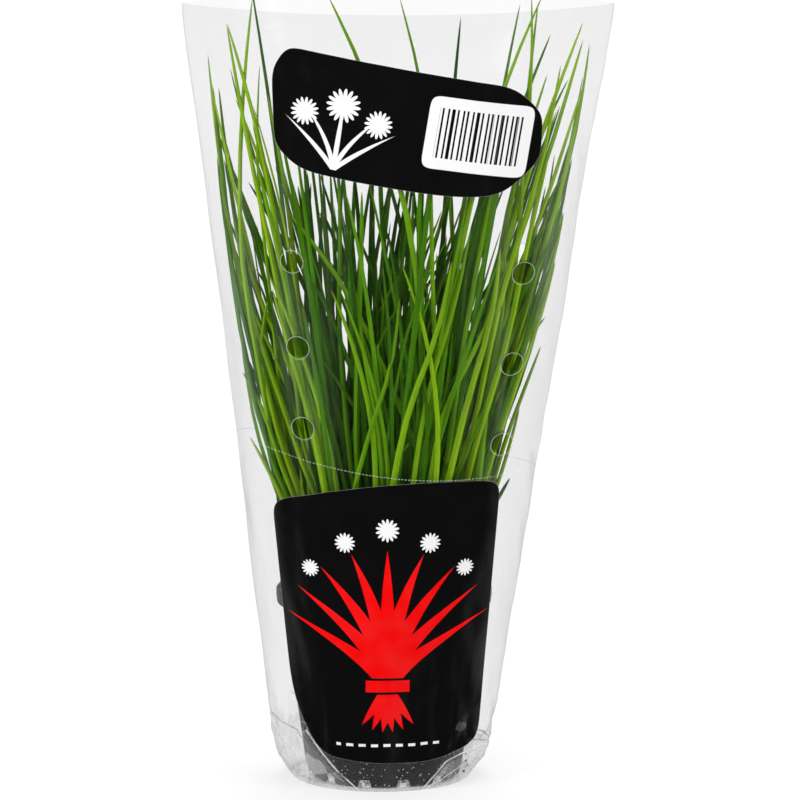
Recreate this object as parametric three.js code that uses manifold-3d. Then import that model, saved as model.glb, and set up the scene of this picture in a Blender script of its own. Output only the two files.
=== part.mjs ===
// A pot of garlic chives in its clear carrying sleeve: a round nursery pot full of potting mix,
// sown with many small tufts of flat, keeled leaves, standing in a tapered film bag.
//
// Millimetres, +Z up. The origin is on the resting face, under the pot's axis. The front is -Y.
import * as THREE from "three";
import { mergeVertices } from "three/addons/utils/BufferGeometryUtils.js";
import Module from "manifold-3d";

const wasm = await Module();
wasm.setup();

// ---------------------------------------------------------------- driving dimensions

const GAP = 0.3; // clearance between pieces that rest on or in each other
const FILM = 0.5; // wall of the sleeve

const POT = {
  height: 75,
  rimRadius: 42.5,
  baseRadius: 30,
  wall: 1.1,
  collarHeight: 6,
  collarProud: 1.4, // how far the collar stands out from the wall
  footHeight: 3.6,
  footWidth: 2.4,
  floor: 1.4,
  footGaps: 12,
  footGapWidth: 7,
  drainHoles: 6,
  drainRadius: 3.2,
  drainCircle: 19,
  sides: 36,
};
const POT_Z = FILM + GAP; // the pot's foot stands on the sleeve's floor

const SOIL = {
  level: POT_Z + POT.height - 9.5,
  lumps: 0.9, // height of the relief on its top
  rings: 4,
  sides: 24,
};

const TUFTS = 45;
const TUFT_CIRCLE = 32.5; // radius of the disc that the tufts are sown in
const CROWN = { radius: 2.4, topRadius: 2.15, depth: 8, height: 5, sides: 5 };
const ROOT_CIRCLE = 0.98; // radius on which the leaves of a tuft leave its crown
const FULL_TUFTS = 0.45; // share of the tufts that have six leaves, and not five
const LEAF = {
  width: [1.9, 2.5],
  shortWidth: 1.5,
  keel: 0.85, // depth of the keel behind the flat face
  thinnest: 0.62,
  twist: 1.5, // turn about its own length, at most, in radians
  knots: [0, 0.1, 0.33, 0.58, 0.82, 1], // where along the leaf its sections stand
  taper: [0.45, 0.85, 1, 0.95, 0.74, 0], // width at each of those sections
  collar: { radius: 2.9, rise: 9 }, // where the second section stands, above and round the crown
  clearance: 0.3, // least space between two leaves
};

// How the leaves stand. A lean is sideways travel for each millimetre of rise, and an arch is the
// further travel of the tip as the leaf bends over.
const STANCE = {
  outwards: 0.1, // lean and arch away from the pot's axis, for a tuft at the edge
  depthShare: 0.7, // how much of that there is to the front and the back
  fromCrown: 0.03, // lean away from the leaf's own crown
  aside: 0.02, // lean of the whole plant towards +X
  parting: 0.04, // lean of the left half to the left and of the right half to the right
  sway: 0.1, // chance lean to the front or the back
  droop: 0.6, // how much height an arch costs the tip
};
const USUAL = { tip: 229, tipVaries: 124, slant: 0.16, arch: 0.04, archVaries: 0.5 };
const TALL = { share: 0.05, tip: [286, 322] };
const STRAY = { share: 0.1, tip: 265, slant: 0.9, arch: 0.16 };
const SHORT = { tip: [100, 175], slant: 0.3, arch: [0.05, 0.3] };

// The sleeve's outline: half width and half depth at each height, and how pinched its side edges
// are. An edge of 0.5 makes an ellipse, and 1 a lens.
const SLEEVE_STATIONS = [
  { z: 0, halfWidth: 33.5, halfDepth: 31.6, edge: 0.5 },
  { z: 3, halfWidth: 37.5, halfDepth: 32.6, edge: 0.52 },
  { z: 8, halfWidth: 41, halfDepth: 33.4, edge: 0.58 },
  { z: 20, halfWidth: 44, halfDepth: 35.6, edge: 0.7 },
  { z: 42, halfWidth: 47, halfDepth: 39.4, edge: 0.85 },
  { z: 72, halfWidth: 51.2, halfDepth: 45.4, edge: 0.85 },
  { z: 130, halfWidth: 59.1, halfDepth: 48, edge: 0.85 },
  { z: 190, halfWidth: 67.4, halfDepth: 49.6, edge: 0.84 },
  { z: 250, halfWidth: 75.6, halfDepth: 51, edge: 0.82 },
  { z: 306, halfWidth: 83.3, halfDepth: 52, edge: 0.8 },
];
const SLEEVE_TOP = 306;
const SLEEVE_SIDES = 32;
const SLEEVE_LEAN = { base: -1.2, top: 5.6 }; // where the sleeve's middle is along X

// Pairs of holes punched through the front and the back of the sleeve. The sleeve hangs a little
// askew on the pot, so the right hole of a pair is lower than the left one.
const PUNCHED = [
  { middle: 7.3, z: 141, fromMiddle: 38.5, drop: 4, radius: 4.3 },
  { middle: 8.3, z: 172.5, fromMiddle: 41.3, drop: 4, radius: 4.3 },
  { middle: 9.3, z: 207, fromMiddle: 44.5, drop: 3, radius: 4.3 },
  { middle: 0.5, z: 24, fromMiddle: 32.5, drop: 0, radius: 2 },
];

// ---------------------------------------------------------------- numbers and chance

// A repeatable stream of numbers from 0 to 1 (mulberry32).
function seeded(seed) {
  let state = seed >>> 0;
  return () => {
    state = (state + 0x6d2b79f5) >>> 0;
    let t = Math.imul(state ^ (state >>> 15), state | 1);
    t = (t + Math.imul(t ^ (t >>> 7), t | 61)) ^ t;
    return ((t ^ (t >>> 14)) >>> 0) / 4294967296;
  };
}

const chance = seeded(20261);
const between = (low, high) => low + (high - low) * chance();
// Roughly a bell curve, from -1 to 1.
const bell = () => (chance() + chance() + chance() + chance()) / 2 - 1;
const turn = (angle) => new THREE.Vector3(Math.cos(angle), Math.sin(angle), 0);
const at = (x, y, z) => new THREE.Vector3(x, y, z);

// ---------------------------------------------------------------- solids

function solidOf(geometry) {
  const bare = geometry.clone();
  bare.deleteAttribute("normal");
  bare.deleteAttribute("uv");
  const merged = mergeVertices(bare, 1e-4);
  const vertProperties = merged.attributes.position.array;
  const triVerts = new Uint32Array(merged.index.array);
  return new wasm.Manifold(new wasm.Mesh({ numProp: 3, vertProperties, triVerts }));
}

function geometryOf(solid) {
  const mesh = solid.getMesh();
  const geometry = new THREE.BufferGeometry();
  geometry.setAttribute("position", new THREE.BufferAttribute(mesh.vertProperties, 3));
  geometry.setIndex(new THREE.BufferAttribute(mesh.triVerts, 1));
  geometry.computeVertexNormals();
  return geometry;
}

// A closed skin over rings of points, each ring counterclockwise seen from where the next one
// lies. The first ring is capped, and the last is capped too or drawn to the point tip.
function loft(rings, tip) {
  const sides = rings[0].length;
  const points = rings.flat();
  const faces = [];
  const join = (a, b, c) => faces.push(a, b, c);
  for (let r = 0; r + 1 < rings.length; r++)
    for (let i = 0; i < sides; i++) {
      const a = r * sides + i;
      const b = r * sides + ((i + 1) % sides);
      join(a, b, b + sides);
      join(a, b + sides, a + sides);
    }
  for (let i = 1; i + 1 < sides; i++) join(0, i + 1, i);
  const last = (rings.length - 1) * sides;
  if (tip) {
    points.push(tip);
    for (let i = 0; i < sides; i++) join(last + i, last + ((i + 1) % sides), points.length - 1);
  } else {
    for (let i = 1; i + 1 < sides; i++) join(last, last + i, last + i + 1);
  }
  return new THREE.BufferGeometry().setFromPoints(points).setIndex(faces);
}

// A level ring of points round a centre.
function levelRing(centre, radius, sides, start = 0) {
  return Array.from({ length: sides }, (_, i) =>
    turn(start + (2 * Math.PI * i) / sides).multiplyScalar(radius).add(centre),
  );
}

// An upright column of regular section.
function column({ x, y, low, high, radius, sides, start }) {
  const rings = [low, high].map((z) => levelRing(at(x, y, z), radius, sides, start));
  return solidOf(loft(rings));
}

// ---------------------------------------------------------------- pot

const POT_SLOPE = (POT.rimRadius - POT.collarProud - POT.baseRadius) / POT.height;
const potOuter = (height) => POT.baseRadius + POT_SLOPE * height;
const potInner = (height) => potOuter(height) - POT.wall;

function potProfile() {
  const { height, baseRadius, wall, footHeight, footWidth, floor, rimRadius } = POT;
  const collarFoot = height - POT.collarHeight;
  const floorTop = footHeight + floor;
  return [
    [0, footHeight],
    [baseRadius - footWidth, footHeight],
    [baseRadius - footWidth, 0],
    [baseRadius - 0.6, 0],
    [baseRadius, 0.8],
    [potOuter(collarFoot), collarFoot],
    [rimRadius - 0.3, collarFoot + 0.4],
    [rimRadius, height - 0.8],
    [rimRadius - 0.6, height],
    [rimRadius - 0.6 - wall, height],
    [rimRadius - 0.9 - wall, collarFoot + 1],
    [potInner(collarFoot), collarFoot - 0.6],
    [potInner(floorTop + 2), floorTop + 2],
    [potInner(floorTop) - 1.6, floorTop],
    [0, floorTop],
  ].map(([r, z]) => new THREE.Vector2(r, z));
}

// One gap in the foot ring: a wedge that is wider at the ground, along +X.
function footGap() {
  const { baseRadius, footWidth, footHeight, footGapWidth } = POT;
  const inner = baseRadius - footWidth - 1.5;
  const outer = baseRadius + 2;
  const ring = (x) =>
    [
      [-footGapWidth / 2, -1],
      [footGapWidth / 2, -1],
      [footGapWidth / 2 - 1.2, footHeight - 0.2],
      [1.2 - footGapWidth / 2, footHeight - 0.2],
    ].map(([y, z]) => at(x, y, z));
  return solidOf(loft([ring(inner), ring(outer)]));
}

function makePot() {
  const shell = new THREE.LatheGeometry(potProfile(), POT.sides).rotateX(Math.PI / 2);
  let pot = solidOf(shell);
  const gap = footGap();
  for (let i = 0; i < POT.footGaps; i++)
    pot = pot.subtract(gap.rotate([0, 0, (360 * (i + 0.5)) / POT.footGaps]));
  for (const { x, y } of levelRing(at(0, 0, 0), POT.drainCircle, POT.drainHoles)) {
    const low = POT.footHeight - 1;
    const high = POT.footHeight + POT.floor + 1;
    pot = pot.subtract(column({ x, y, low, high, radius: POT.drainRadius, sides: 8 }));
  }
  return pot.translate([0, 0, POT_Z]);
}

// ---------------------------------------------------------------- sleeve

// The sleeve's sizes at a height, straight between the stations.
function sleeveAt(z) {
  const last = SLEEVE_STATIONS.length - 1;
  let i = 1;
  while (i < last && SLEEVE_STATIONS[i].z < z) i++;
  const [a, b] = [SLEEVE_STATIONS[i - 1], SLEEVE_STATIONS[i]];
  const t = (z - a.z) / (b.z - a.z);
  const mix = (key) => a[key] + (b[key] - a[key]) * t;
  return {
    halfWidth: mix("halfWidth"),
    halfDepth: mix("halfDepth"),
    edge: mix("edge"),
    middle: SLEEVE_LEAN.base + ((SLEEVE_LEAN.top - SLEEVE_LEAN.base) * z) / SLEEVE_TOP,
  };
}

// The outline at a height, drawn in by so much along X and along Y.
function sleeveRing(z, inX, inY, height = z) {
  const { halfWidth, halfDepth, edge, middle } = sleeveAt(z);
  return Array.from({ length: SLEEVE_SIDES }, (_, i) => {
    const angle = (2 * Math.PI * i) / SLEEVE_SIDES;
    const y = Math.sign(Math.sin(angle)) * Math.abs(Math.sin(angle)) ** (2 * edge);
    return at(middle + (halfWidth - inX) * Math.cos(angle), (halfDepth - inY) * y, height);
  });
}

function makeSleeve() {
  const heights = SLEEVE_STATIONS.map((s) => s.z);
  const outside = heights.map((z) => sleeveRing(z, 0, 0));
  const inside = heights.map((z) => sleeveRing(z, 1.5 * FILM, FILM, Math.max(z, FILM)));
  let sleeve = solidOf(loft([...outside, ...inside.reverse()]));
  for (const { middle, z, fromMiddle, drop, radius } of PUNCHED)
    for (const side of [-1, 1]) {
      const [x, y] = [middle + side * fromMiddle, z - side * drop];
      const punch = column({ x, y, low: -90, high: 90, radius, sides: 8 });
      sleeve = sleeve.subtract(punch.rotate([90, 0, 0]));
    }
  return sleeve;
}

// ---------------------------------------------------------------- tufts

// Where each tuft is sown: a sunflower spiral, each place shaken a little.
function sowTufts() {
  return Array.from({ length: TUFTS }, (_, i) => {
    const radius = TUFT_CIRCLE * Math.sqrt((i + 0.5) / TUFTS);
    const angle = i * 2.39996;
    const shake = turn(between(0, 2 * Math.PI)).multiplyScalar(between(0, 0.9));
    return turn(angle).multiplyScalar(radius).add(shake).clampLength(0, TUFT_CIRCLE);
  });
}

// How high a leaf's tip comes, and how far it may slant and arch. Most leaves arch a little, a
// few stand tall, some slant across the others, and the sixth of a full tuft is short.
function leafHabit(order) {
  if (order === 5)
    return { tip: between(...SHORT.tip), slant: SHORT.slant, arch: between(...SHORT.arch) };
  const tall = chance() < TALL.share;
  const usual = Math.min(USUAL.tip + USUAL.tipVaries * bell(), TALL.tip[0]);
  const tip = tall ? between(...TALL.tip) : usual;
  if (chance() < STRAY.share)
    return { tip: Math.min(tip, STRAY.tip), slant: STRAY.slant, arch: STRAY.arch };
  const arch = USUAL.arch + USUAL.archVaries * Math.abs(bell()) ** 1.4;
  return { tip, slant: USUAL.slant, arch };
}

// A leaf before its neighbours push it aside: its middle line, width, facing and twist.
function growLeaf(tuft, order, count, spin) {
  const outwards = turn(spin + (2 * Math.PI * order) / count + between(-0.12, 0.12));
  const root = tuft.clone().addScaledVector(outwards, ROOT_CIRCLE);
  root.z = SOIL.level + CROWN.height - 0.4;
  const { tip, slant, arch } = leafHabit(order);
  const reach = tip - root.z;
  const spread = at(tuft.x, STANCE.depthShare * tuft.y, 0);
  spread.multiplyScalar(STANCE.outwards / TUFT_CIRCLE);
  const aside = slant * bell() + STANCE.aside + STANCE.parting * Math.sign(tuft.x);
  const lean = at(aside, STANCE.sway * bell(), 0).add(spread);
  lean.addScaledVector(outwards, STANCE.fromCrown);
  const bend = turn(between(0, 2 * Math.PI)).multiplyScalar(arch).add(spread);
  const line = LEAF.knots.map((t) => {
    const place = root.clone().addScaledVector(lean, reach * t).addScaledVector(bend, reach * t * t);
    return place.setZ(root.z + reach * (t - STANCE.droop * arch * t ** 4));
  });
  const { radius, rise } = LEAF.collar;
  line[1].copy(tuft).addScaledVector(outwards, radius).setZ(root.z + rise);
  return {
    line,
    width: order === 5 ? LEAF.shortWidth : between(...LEAF.width),
    facing: Math.atan2(outwards.y, outwards.x),
    twist: between(-LEAF.twist, LEAF.twist),
  };
}

// Keeps a point of a middle line inside the sleeve, and inside the pot's rim while it is low.
const ROOM = { sides: 4, faces: 2.6, rim: POT.rimRadius - 4.3, rimTop: POT_Z + POT.height + 3 };

function keepInside(point) {
  if (point.z <= ROOM.rimTop) {
    const radius = Math.hypot(point.x, point.y);
    if (radius > ROOM.rim) {
      point.x *= ROOM.rim / radius;
      point.y *= ROOM.rim / radius;
    }
    return;
  }
  const { halfWidth, halfDepth, edge, middle } = sleeveAt(Math.min(point.z, SLEEVE_TOP));
  const width = halfWidth - ROOM.sides;
  const across = THREE.MathUtils.clamp((point.x - middle) / width, -0.97, 0.97);
  const depth = (halfDepth - ROOM.faces) * (1 - across * across) ** edge;
  point.x = middle + across * width;
  point.y = THREE.MathUtils.clamp(point.y, -depth, depth);
}

// Takes a little out of any sharp kink between the second section and the tip.
function easeKinks({ line }) {
  for (let k = 2; k + 1 < line.length; k++) {
    const [before, after] = [line[k - 1], line[k + 1]];
    const share = (LEAF.knots[k] - LEAF.knots[k - 1]) / (LEAF.knots[k + 1] - LEAF.knots[k - 1]);
    const off = before.clone().lerp(after, share).sub(line[k]);
    if (off.length() > 0.05 * before.distanceTo(after)) line[k].addScaledVector(off, 0.15);
  }
}

// The nearest points of two straight stretches, a0 to a1 and b0 to b1: their shares along them,
// and the way from the second point to the first.
function findNearest(a0, a1, b0, b1) {
  const clamp01 = (v) => Math.min(1, Math.max(0, v));
  const alongA = a1.clone().sub(a0);
  const alongB = b1.clone().sub(b0);
  const way = a0.clone().sub(b0);
  const [aa, bb, ab] = [alongA.dot(alongA), alongB.dot(alongB), alongA.dot(alongB)];
  const [aw, bw] = [alongA.dot(way), alongB.dot(way)];
  const slack = aa * bb - ab * ab;
  let s = slack > 1e-9 ? clamp01((ab * bw - aw * bb) / slack) : 0.5;
  const t = clamp01((ab * s + bw) / bb);
  s = clamp01((ab * t - aw) / aa);
  way.addScaledVector(alongA, s).addScaledVector(alongB, -t);
  return { s, t, way };
}

// Moves the stretch's nearest point by so much, by moving its two ends. A root stays.
function shove(leaf, index, share, way, amount) {
  const [w0, w1] = [index === 0 ? 0 : 1 - share, share];
  const whole = w0 * w0 + w1 * w1;
  if (whole < 0.04) return;
  leaf.line[index].addScaledVector(way, (amount * w0) / whole);
  leaf.line[index + 1].addScaledVector(way, (amount * w1) / whole);
}

// Bends the leaves clear of each other, so that no two of them touch above their crowns.
function bendClear(leaves, rounds) {
  const spans = leaves.flatMap((leaf) =>
    LEAF.knots.slice(1).map((_, index) => ({ leaf, index, box: new THREE.Box3() })),
  );
  const halfWidth = ({ leaf, index }, share) => {
    const [from, to] = [LEAF.taper[index], LEAF.taper[index + 1]];
    return (leaf.width / 2) * (from + (to - from) * share);
  };
  let touching = 0;
  for (let round = 0; round < rounds; round++) {
    touching = 0;
    for (const { leaf, index, box } of spans)
      box.setFromPoints([leaf.line[index], leaf.line[index + 1]]).expandByScalar(1.4);
    for (let i = 0; i < spans.length; i++)
      for (let j = i + 1; j < spans.length; j++) {
        const [a, b] = [spans[i], spans[j]];
        if (a.leaf === b.leaf || !a.box.intersectsBox(b.box)) continue;
        if (a.leaf.tuft === b.leaf.tuft && (a.index === 0 || b.index === 0)) continue;
        const [la, lb] = [a.leaf.line, b.leaf.line];
        const stretches = [la[a.index], la[a.index + 1], lb[b.index], lb[b.index + 1]];
        const { s, t, way } = findNearest(...stretches);
        const wanted = halfWidth(a, s) + halfWidth(b, t) + LEAF.clearance;
        const apart = way.length();
        if (apart >= wanted) continue;
        touching++;
        if (apart < 1e-6) way.set(1, 0, 0);
        else way.divideScalar(apart);
        way.z = 0;
        const push = 0.55 * (wanted - apart) + 0.02;
        shove(a.leaf, a.index, s, way, push);
        shove(b.leaf, b.index, t, way, -push);
      }
    if (touching === 0) break;
    for (const leaf of leaves) {
      easeKinks(leaf);
      leaf.line.slice(1).forEach(keepInside);
    }
  }
  return touching;
}

// A leaf's solid: flat across, with a keel behind, turning slowly about its middle line.
function leafSolid({ line, width, facing, twist }) {
  const end = line.length - 1;
  const rings = LEAF.taper.slice(0, end).map((taper, k) => {
    const along = line[k + 1].clone().sub(line[Math.max(k - 1, 0)]).normalize();
    const across = along.clone().cross(turn(facing + twist * LEAF.knots[k])).normalize();
    const outer = across.clone().cross(along).normalize();
    const half = (width / 2) * taper;
    const keel = Math.max(LEAF.thinnest, LEAF.keel * taper);
    return [
      line[k].clone().addScaledVector(across, half),
      line[k].clone().addScaledVector(across, -half),
      line[k].clone().addScaledVector(outer, keel),
    ];
  });
  return solidOf(loft(rings, line[end]));
}

function crownSolid({ x, y }, spin) {
  const ring = (radius, z) => levelRing(at(x, y, SOIL.level + z), radius, CROWN.sides, spin);
  const rings = [
    ring(CROWN.radius * 0.6, -CROWN.depth),
    ring(CROWN.radius, -1),
    ring(CROWN.topRadius, CROWN.height),
  ];
  return solidOf(loft(rings));
}

function plantTufts() {
  const tufts = sowTufts().map((place) => ({ place, spin: between(0, Math.PI) }));
  const leaves = [];
  for (const tuft of tufts) {
    const count = chance() < FULL_TUFTS ? 6 : 5;
    tuft.leaves = Array.from({ length: count }, (_, order) => ({
      tuft,
      ...growLeaf(tuft.place, order, count, tuft.spin),
    }));
    leaves.push(...tuft.leaves);
  }
  for (const leaf of leaves) leaf.line.slice(1).forEach(keepInside);
  const touching = bendClear(leaves, 260);
  if (touching) console.warn(`${touching} pairs of leaf stretches are still too near`);
  return tufts;
}

function tuftSolid({ place, spin, leaves }) {
  return leaves.reduce(
    (solid, leaf) => solid.add(leafSolid(leaf)),
    crownSolid(place, spin),
  );
}

// ---------------------------------------------------------------- soil

// The lumps of the potting mix, from -1 to 1, as a few crossing waves.
function lump(x, y) {
  const waves = [
    [0.31, 0.17, 0.4],
    [-0.22, 0.47, 1.9],
    [0.63, -0.41, 4.1],
    [0.12, 0.83, 2.7],
  ];
  return waves.reduce((sum, [a, b, c]) => sum + Math.sin(a * x + b * y + c), 0) / waves.length;
}

function makeSoil(tufts) {
  const low = POT_Z + POT.footHeight + POT.floor + GAP;
  const radiusAt = (z) => potInner(z - POT_Z) - GAP - 0.15;
  const ring = (radius, z) => levelRing(at(0, 0, z), radius, SOIL.sides);
  const lumpy = (p) => p.setZ(SOIL.level + SOIL.lumps * lump(p.x, p.y));
  const edge = radiusAt(SOIL.level - 1);
  const rings = [ring(radiusAt(low) - 2.2, low), ring(radiusAt(low + 2.2), low + 2.2)];
  for (let i = 0; i < SOIL.rings; i++)
    rings.push(ring(edge * (1 - i / SOIL.rings), SOIL.level).map(lumpy));
  let soil = solidOf(loft(rings, lumpy(at(0, 0, 0))));
  const radius = CROWN.radius + GAP / Math.cos(Math.PI / CROWN.sides);
  for (const { place, spin } of tufts) {
    const hole = { x: place.x, y: place.y, radius, sides: CROWN.sides, start: spin };
    const low = SOIL.level - CROWN.depth - GAP;
    soil = soil.subtract(column({ ...hole, low, high: SOIL.level + 9 }));
  }
  return soil;
}

// ---------------------------------------------------------------- the object

const BLACK_PLASTIC = { color: 0x1b1b1c, roughness: 0.5, metalness: 0 };
const POTTING_MIX = { color: 0x2a1d13, roughness: 1, metalness: 0 };
const LEAF_GREEN = { color: 0x4c8a12, roughness: 0.5, metalness: 0 };
const CLEAR_FILM = {
  color: 0xeef0f2,
  roughness: 0.12,
  metalness: 0,
  transparent: true,
  opacity: 0.25,
};

function piece(name, solid, look) {
  const mesh = new THREE.Mesh(geometryOf(solid), new THREE.MeshStandardMaterial(look));
  mesh.name = name;
  return mesh;
}

const potOfChives = new THREE.Group();
const tufts = plantTufts();
potOfChives.add(piece("pot", makePot(), BLACK_PLASTIC));
potOfChives.add(piece("soil", makeSoil(tufts), POTTING_MIX));
tufts.forEach((tuft, i) => {
  const name = `tuft_${String(i + 1).padStart(2, "0")}`;
  potOfChives.add(piece(name, tuftSolid(tuft), LEAF_GREEN));
});
potOfChives.add(piece("sleeve", makeSleeve(), CLEAR_FILM));

export default potOfChives;
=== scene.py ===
# %% [markdown]
# # A pot of garlic chives in a clear sleeve
#
# A grower sows a small round pot with dozens of tufts of garlic chives and slips it into a tapered film bag
# to sell it. This lesson dresses the solid model of that plant: it builds a fine moulded pot, crumbly
# potting mix, several hundred leaves and the crackling film sleeve with its ink. The solid model stays
# where it is, hidden, and each of its nodes is replaced by one new piece. The cells run from top to bottom.

# %% Start from the solid model
import math

import bmesh
import bpy
import numpy as np
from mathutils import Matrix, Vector, noise


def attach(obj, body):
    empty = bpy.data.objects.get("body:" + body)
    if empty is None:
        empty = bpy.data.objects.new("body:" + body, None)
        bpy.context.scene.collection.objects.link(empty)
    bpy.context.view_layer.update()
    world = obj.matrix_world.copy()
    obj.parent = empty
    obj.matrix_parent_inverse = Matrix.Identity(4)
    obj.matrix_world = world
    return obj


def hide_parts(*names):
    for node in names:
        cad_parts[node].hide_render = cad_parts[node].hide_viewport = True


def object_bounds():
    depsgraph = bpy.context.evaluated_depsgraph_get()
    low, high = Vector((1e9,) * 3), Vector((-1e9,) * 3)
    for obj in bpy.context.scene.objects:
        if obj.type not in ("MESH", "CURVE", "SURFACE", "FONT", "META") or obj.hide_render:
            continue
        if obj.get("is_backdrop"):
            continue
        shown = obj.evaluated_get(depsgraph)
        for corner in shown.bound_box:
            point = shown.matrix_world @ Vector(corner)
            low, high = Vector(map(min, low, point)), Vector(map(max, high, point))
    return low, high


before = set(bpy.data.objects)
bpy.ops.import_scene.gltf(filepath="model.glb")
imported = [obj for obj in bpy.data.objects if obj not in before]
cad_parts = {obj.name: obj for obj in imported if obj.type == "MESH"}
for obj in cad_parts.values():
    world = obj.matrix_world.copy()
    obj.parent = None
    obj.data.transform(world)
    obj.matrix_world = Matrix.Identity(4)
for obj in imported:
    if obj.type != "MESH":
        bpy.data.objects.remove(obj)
cad_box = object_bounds()
MM = 0.001
print(len(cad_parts), "nodes, from", tuple(cad_box[0]), "to", tuple(cad_box[1]))

# %% [markdown]
# ## Small helpers for modelling
#
# Blender's operators act on whatever is selected, just as they do under a modeller's hand. So each step
# begins by letting go of everything, and a piece is named as soon as it is added. A turned piece could be a
# Screw modifier or a lathe script. Here its profile is drawn vertex by vertex and spun, because that is
# what one would do by hand, and the doubled vertices at the seam and on the axis are merged before the
# normals are turned outwards.

# %% Helpers for modelling
def let_go():
    bpy.ops.object.select_all(action="DESELECT")


def name_new(name):
    piece = bpy.context.active_object
    piece.name = piece.data.name = name
    return piece


def hold(piece):
    let_go()
    piece.select_set(True)
    bpy.context.view_layer.objects.active = piece


def apply_modifier(piece, kind, **settings):
    hold(piece)
    modifier = piece.modifiers.new(kind.title(), kind)
    for setting, value in settings.items():
        setattr(modifier, setting, value)
    bpy.ops.object.modifier_apply(modifier=modifier.name)


def settle(piece):
    """Puts a piece's place and turn into its mesh, so that its object sits at the origin."""
    hold(piece)
    bpy.ops.object.transform_apply(location=True, rotation=True, scale=True)


def cut_away(piece, bars):
    """Joins the bars and takes them away from a piece with one Boolean."""
    hold(bars[0])
    for bar in bars:
        bar.select_set(True)
    bpy.ops.object.join()
    apply_modifier(piece, "BOOLEAN", operation="DIFFERENCE", solver="MANIFOLD", object=bars[0])
    bpy.data.objects.remove(bars[0])


def smooth(piece, sharp_from):
    """Shades a piece smooth, but for edges sharper than this many degrees."""
    hold(piece)
    bpy.ops.object.shade_smooth_by_angle(angle=math.radians(sharp_from))


def pick(piece, kind, test):
    """In edit mode: selects only the faces or the edges that pass a test."""
    bpy.ops.mesh.select_all(action="DESELECT")
    mesh = bmesh.from_edit_mesh(piece.data)
    for one in getattr(mesh, kind):
        one.select_set(test(one))
    bmesh.update_edit_mesh(piece.data)


def close_seams():
    """In edit mode: merges doubled vertices, then turns every face outwards."""
    bpy.ops.mesh.select_all(action="SELECT")
    bpy.ops.mesh.remove_doubles(threshold=0.001 * MM)
    bpy.ops.mesh.normals_make_consistent(inside=False)


def turn_profile(name, profile, steps):
    """Spins a profile of (radius, height) points, which starts and ends on the axis, round Z."""
    let_go()
    bpy.ops.mesh.primitive_plane_add(size=MM)
    piece = name_new(name)
    bpy.ops.object.mode_set(mode="EDIT")
    bpy.ops.mesh.merge(type="CENTER")
    bpy.ops.transform.translate(value=(profile[0][0], 0, profile[0][1]))
    for (radius, height), (next_radius, next_height) in zip(profile, profile[1:]):
        step = (next_radius - radius, 0, next_height - height)
        bpy.ops.mesh.extrude_vertices_move(TRANSFORM_OT_translate={"value": step})
    bpy.ops.mesh.select_all(action="SELECT")
    bpy.ops.mesh.spin(steps=steps, angle=2 * math.pi, center=(0, 0, 0), axis=(0, 0, 1))
    close_seams()
    bpy.ops.object.mode_set(mode="OBJECT")
    return piece


def push_up_ring(name, sides, rows):
    """Pushes a ring of radius 1 up from row to row, and stays in edit mode with its top selected."""
    let_go()
    bpy.ops.mesh.primitive_circle_add(vertices=sides, radius=1)
    piece = name_new(name)
    bpy.ops.object.mode_set(mode="EDIT")
    bpy.ops.mesh.select_all(action="SELECT")
    for low, high in zip(rows, rows[1:]):
        bpy.ops.mesh.extrude_region_move(TRANSFORM_OT_translate={"value": (0, 0, high - low)})
    return piece


def points_of(piece):
    """The places of a piece's vertices, as rows of x, y and z."""
    places = np.zeros(len(piece.data.vertices) * 3)
    piece.data.vertices.foreach_get("co", places)
    return places.reshape(-1, 3)


def move_points(piece, places):
    piece.data.vertices.foreach_set("co", np.asarray(places, float).ravel())
    piece.data.update()


def faces_in(piece):
    return len(piece.data.polygons)


def tell(mesh, name, values):
    """Writes a number on every vertex, which a finish can read by its name."""
    values = np.asarray(values, np.float32)
    mesh.attributes.new(name, "FLOAT", "POINT").data.foreach_set("value", values)


def wear(piece, *finishes):
    """Gives a piece its finishes. A Boolean leaves empty slots behind, so these go first."""
    piece.data.materials.clear()
    for finish in finishes:
        piece.data.materials.append(finish)
    piece.data.polygons.foreach_set("material_index", [0] * faces_in(piece))


def clamp(value, low=0.0, high=1.0):
    return min(high, max(low, value))


# %% [markdown]
# ## Writing finishes as sums
#
# A material is a tree of nodes, and one could wire each node by hand. A pattern is easier to read as
# arithmetic, so this small class wraps one socket, and Python's own operators on it add Math nodes. Colours
# must not pass through a Math node, which would make them grey, so they go through Mix nodes. Every other
# node comes from the one method called node, which sets the node's options first and then its sockets.

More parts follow.
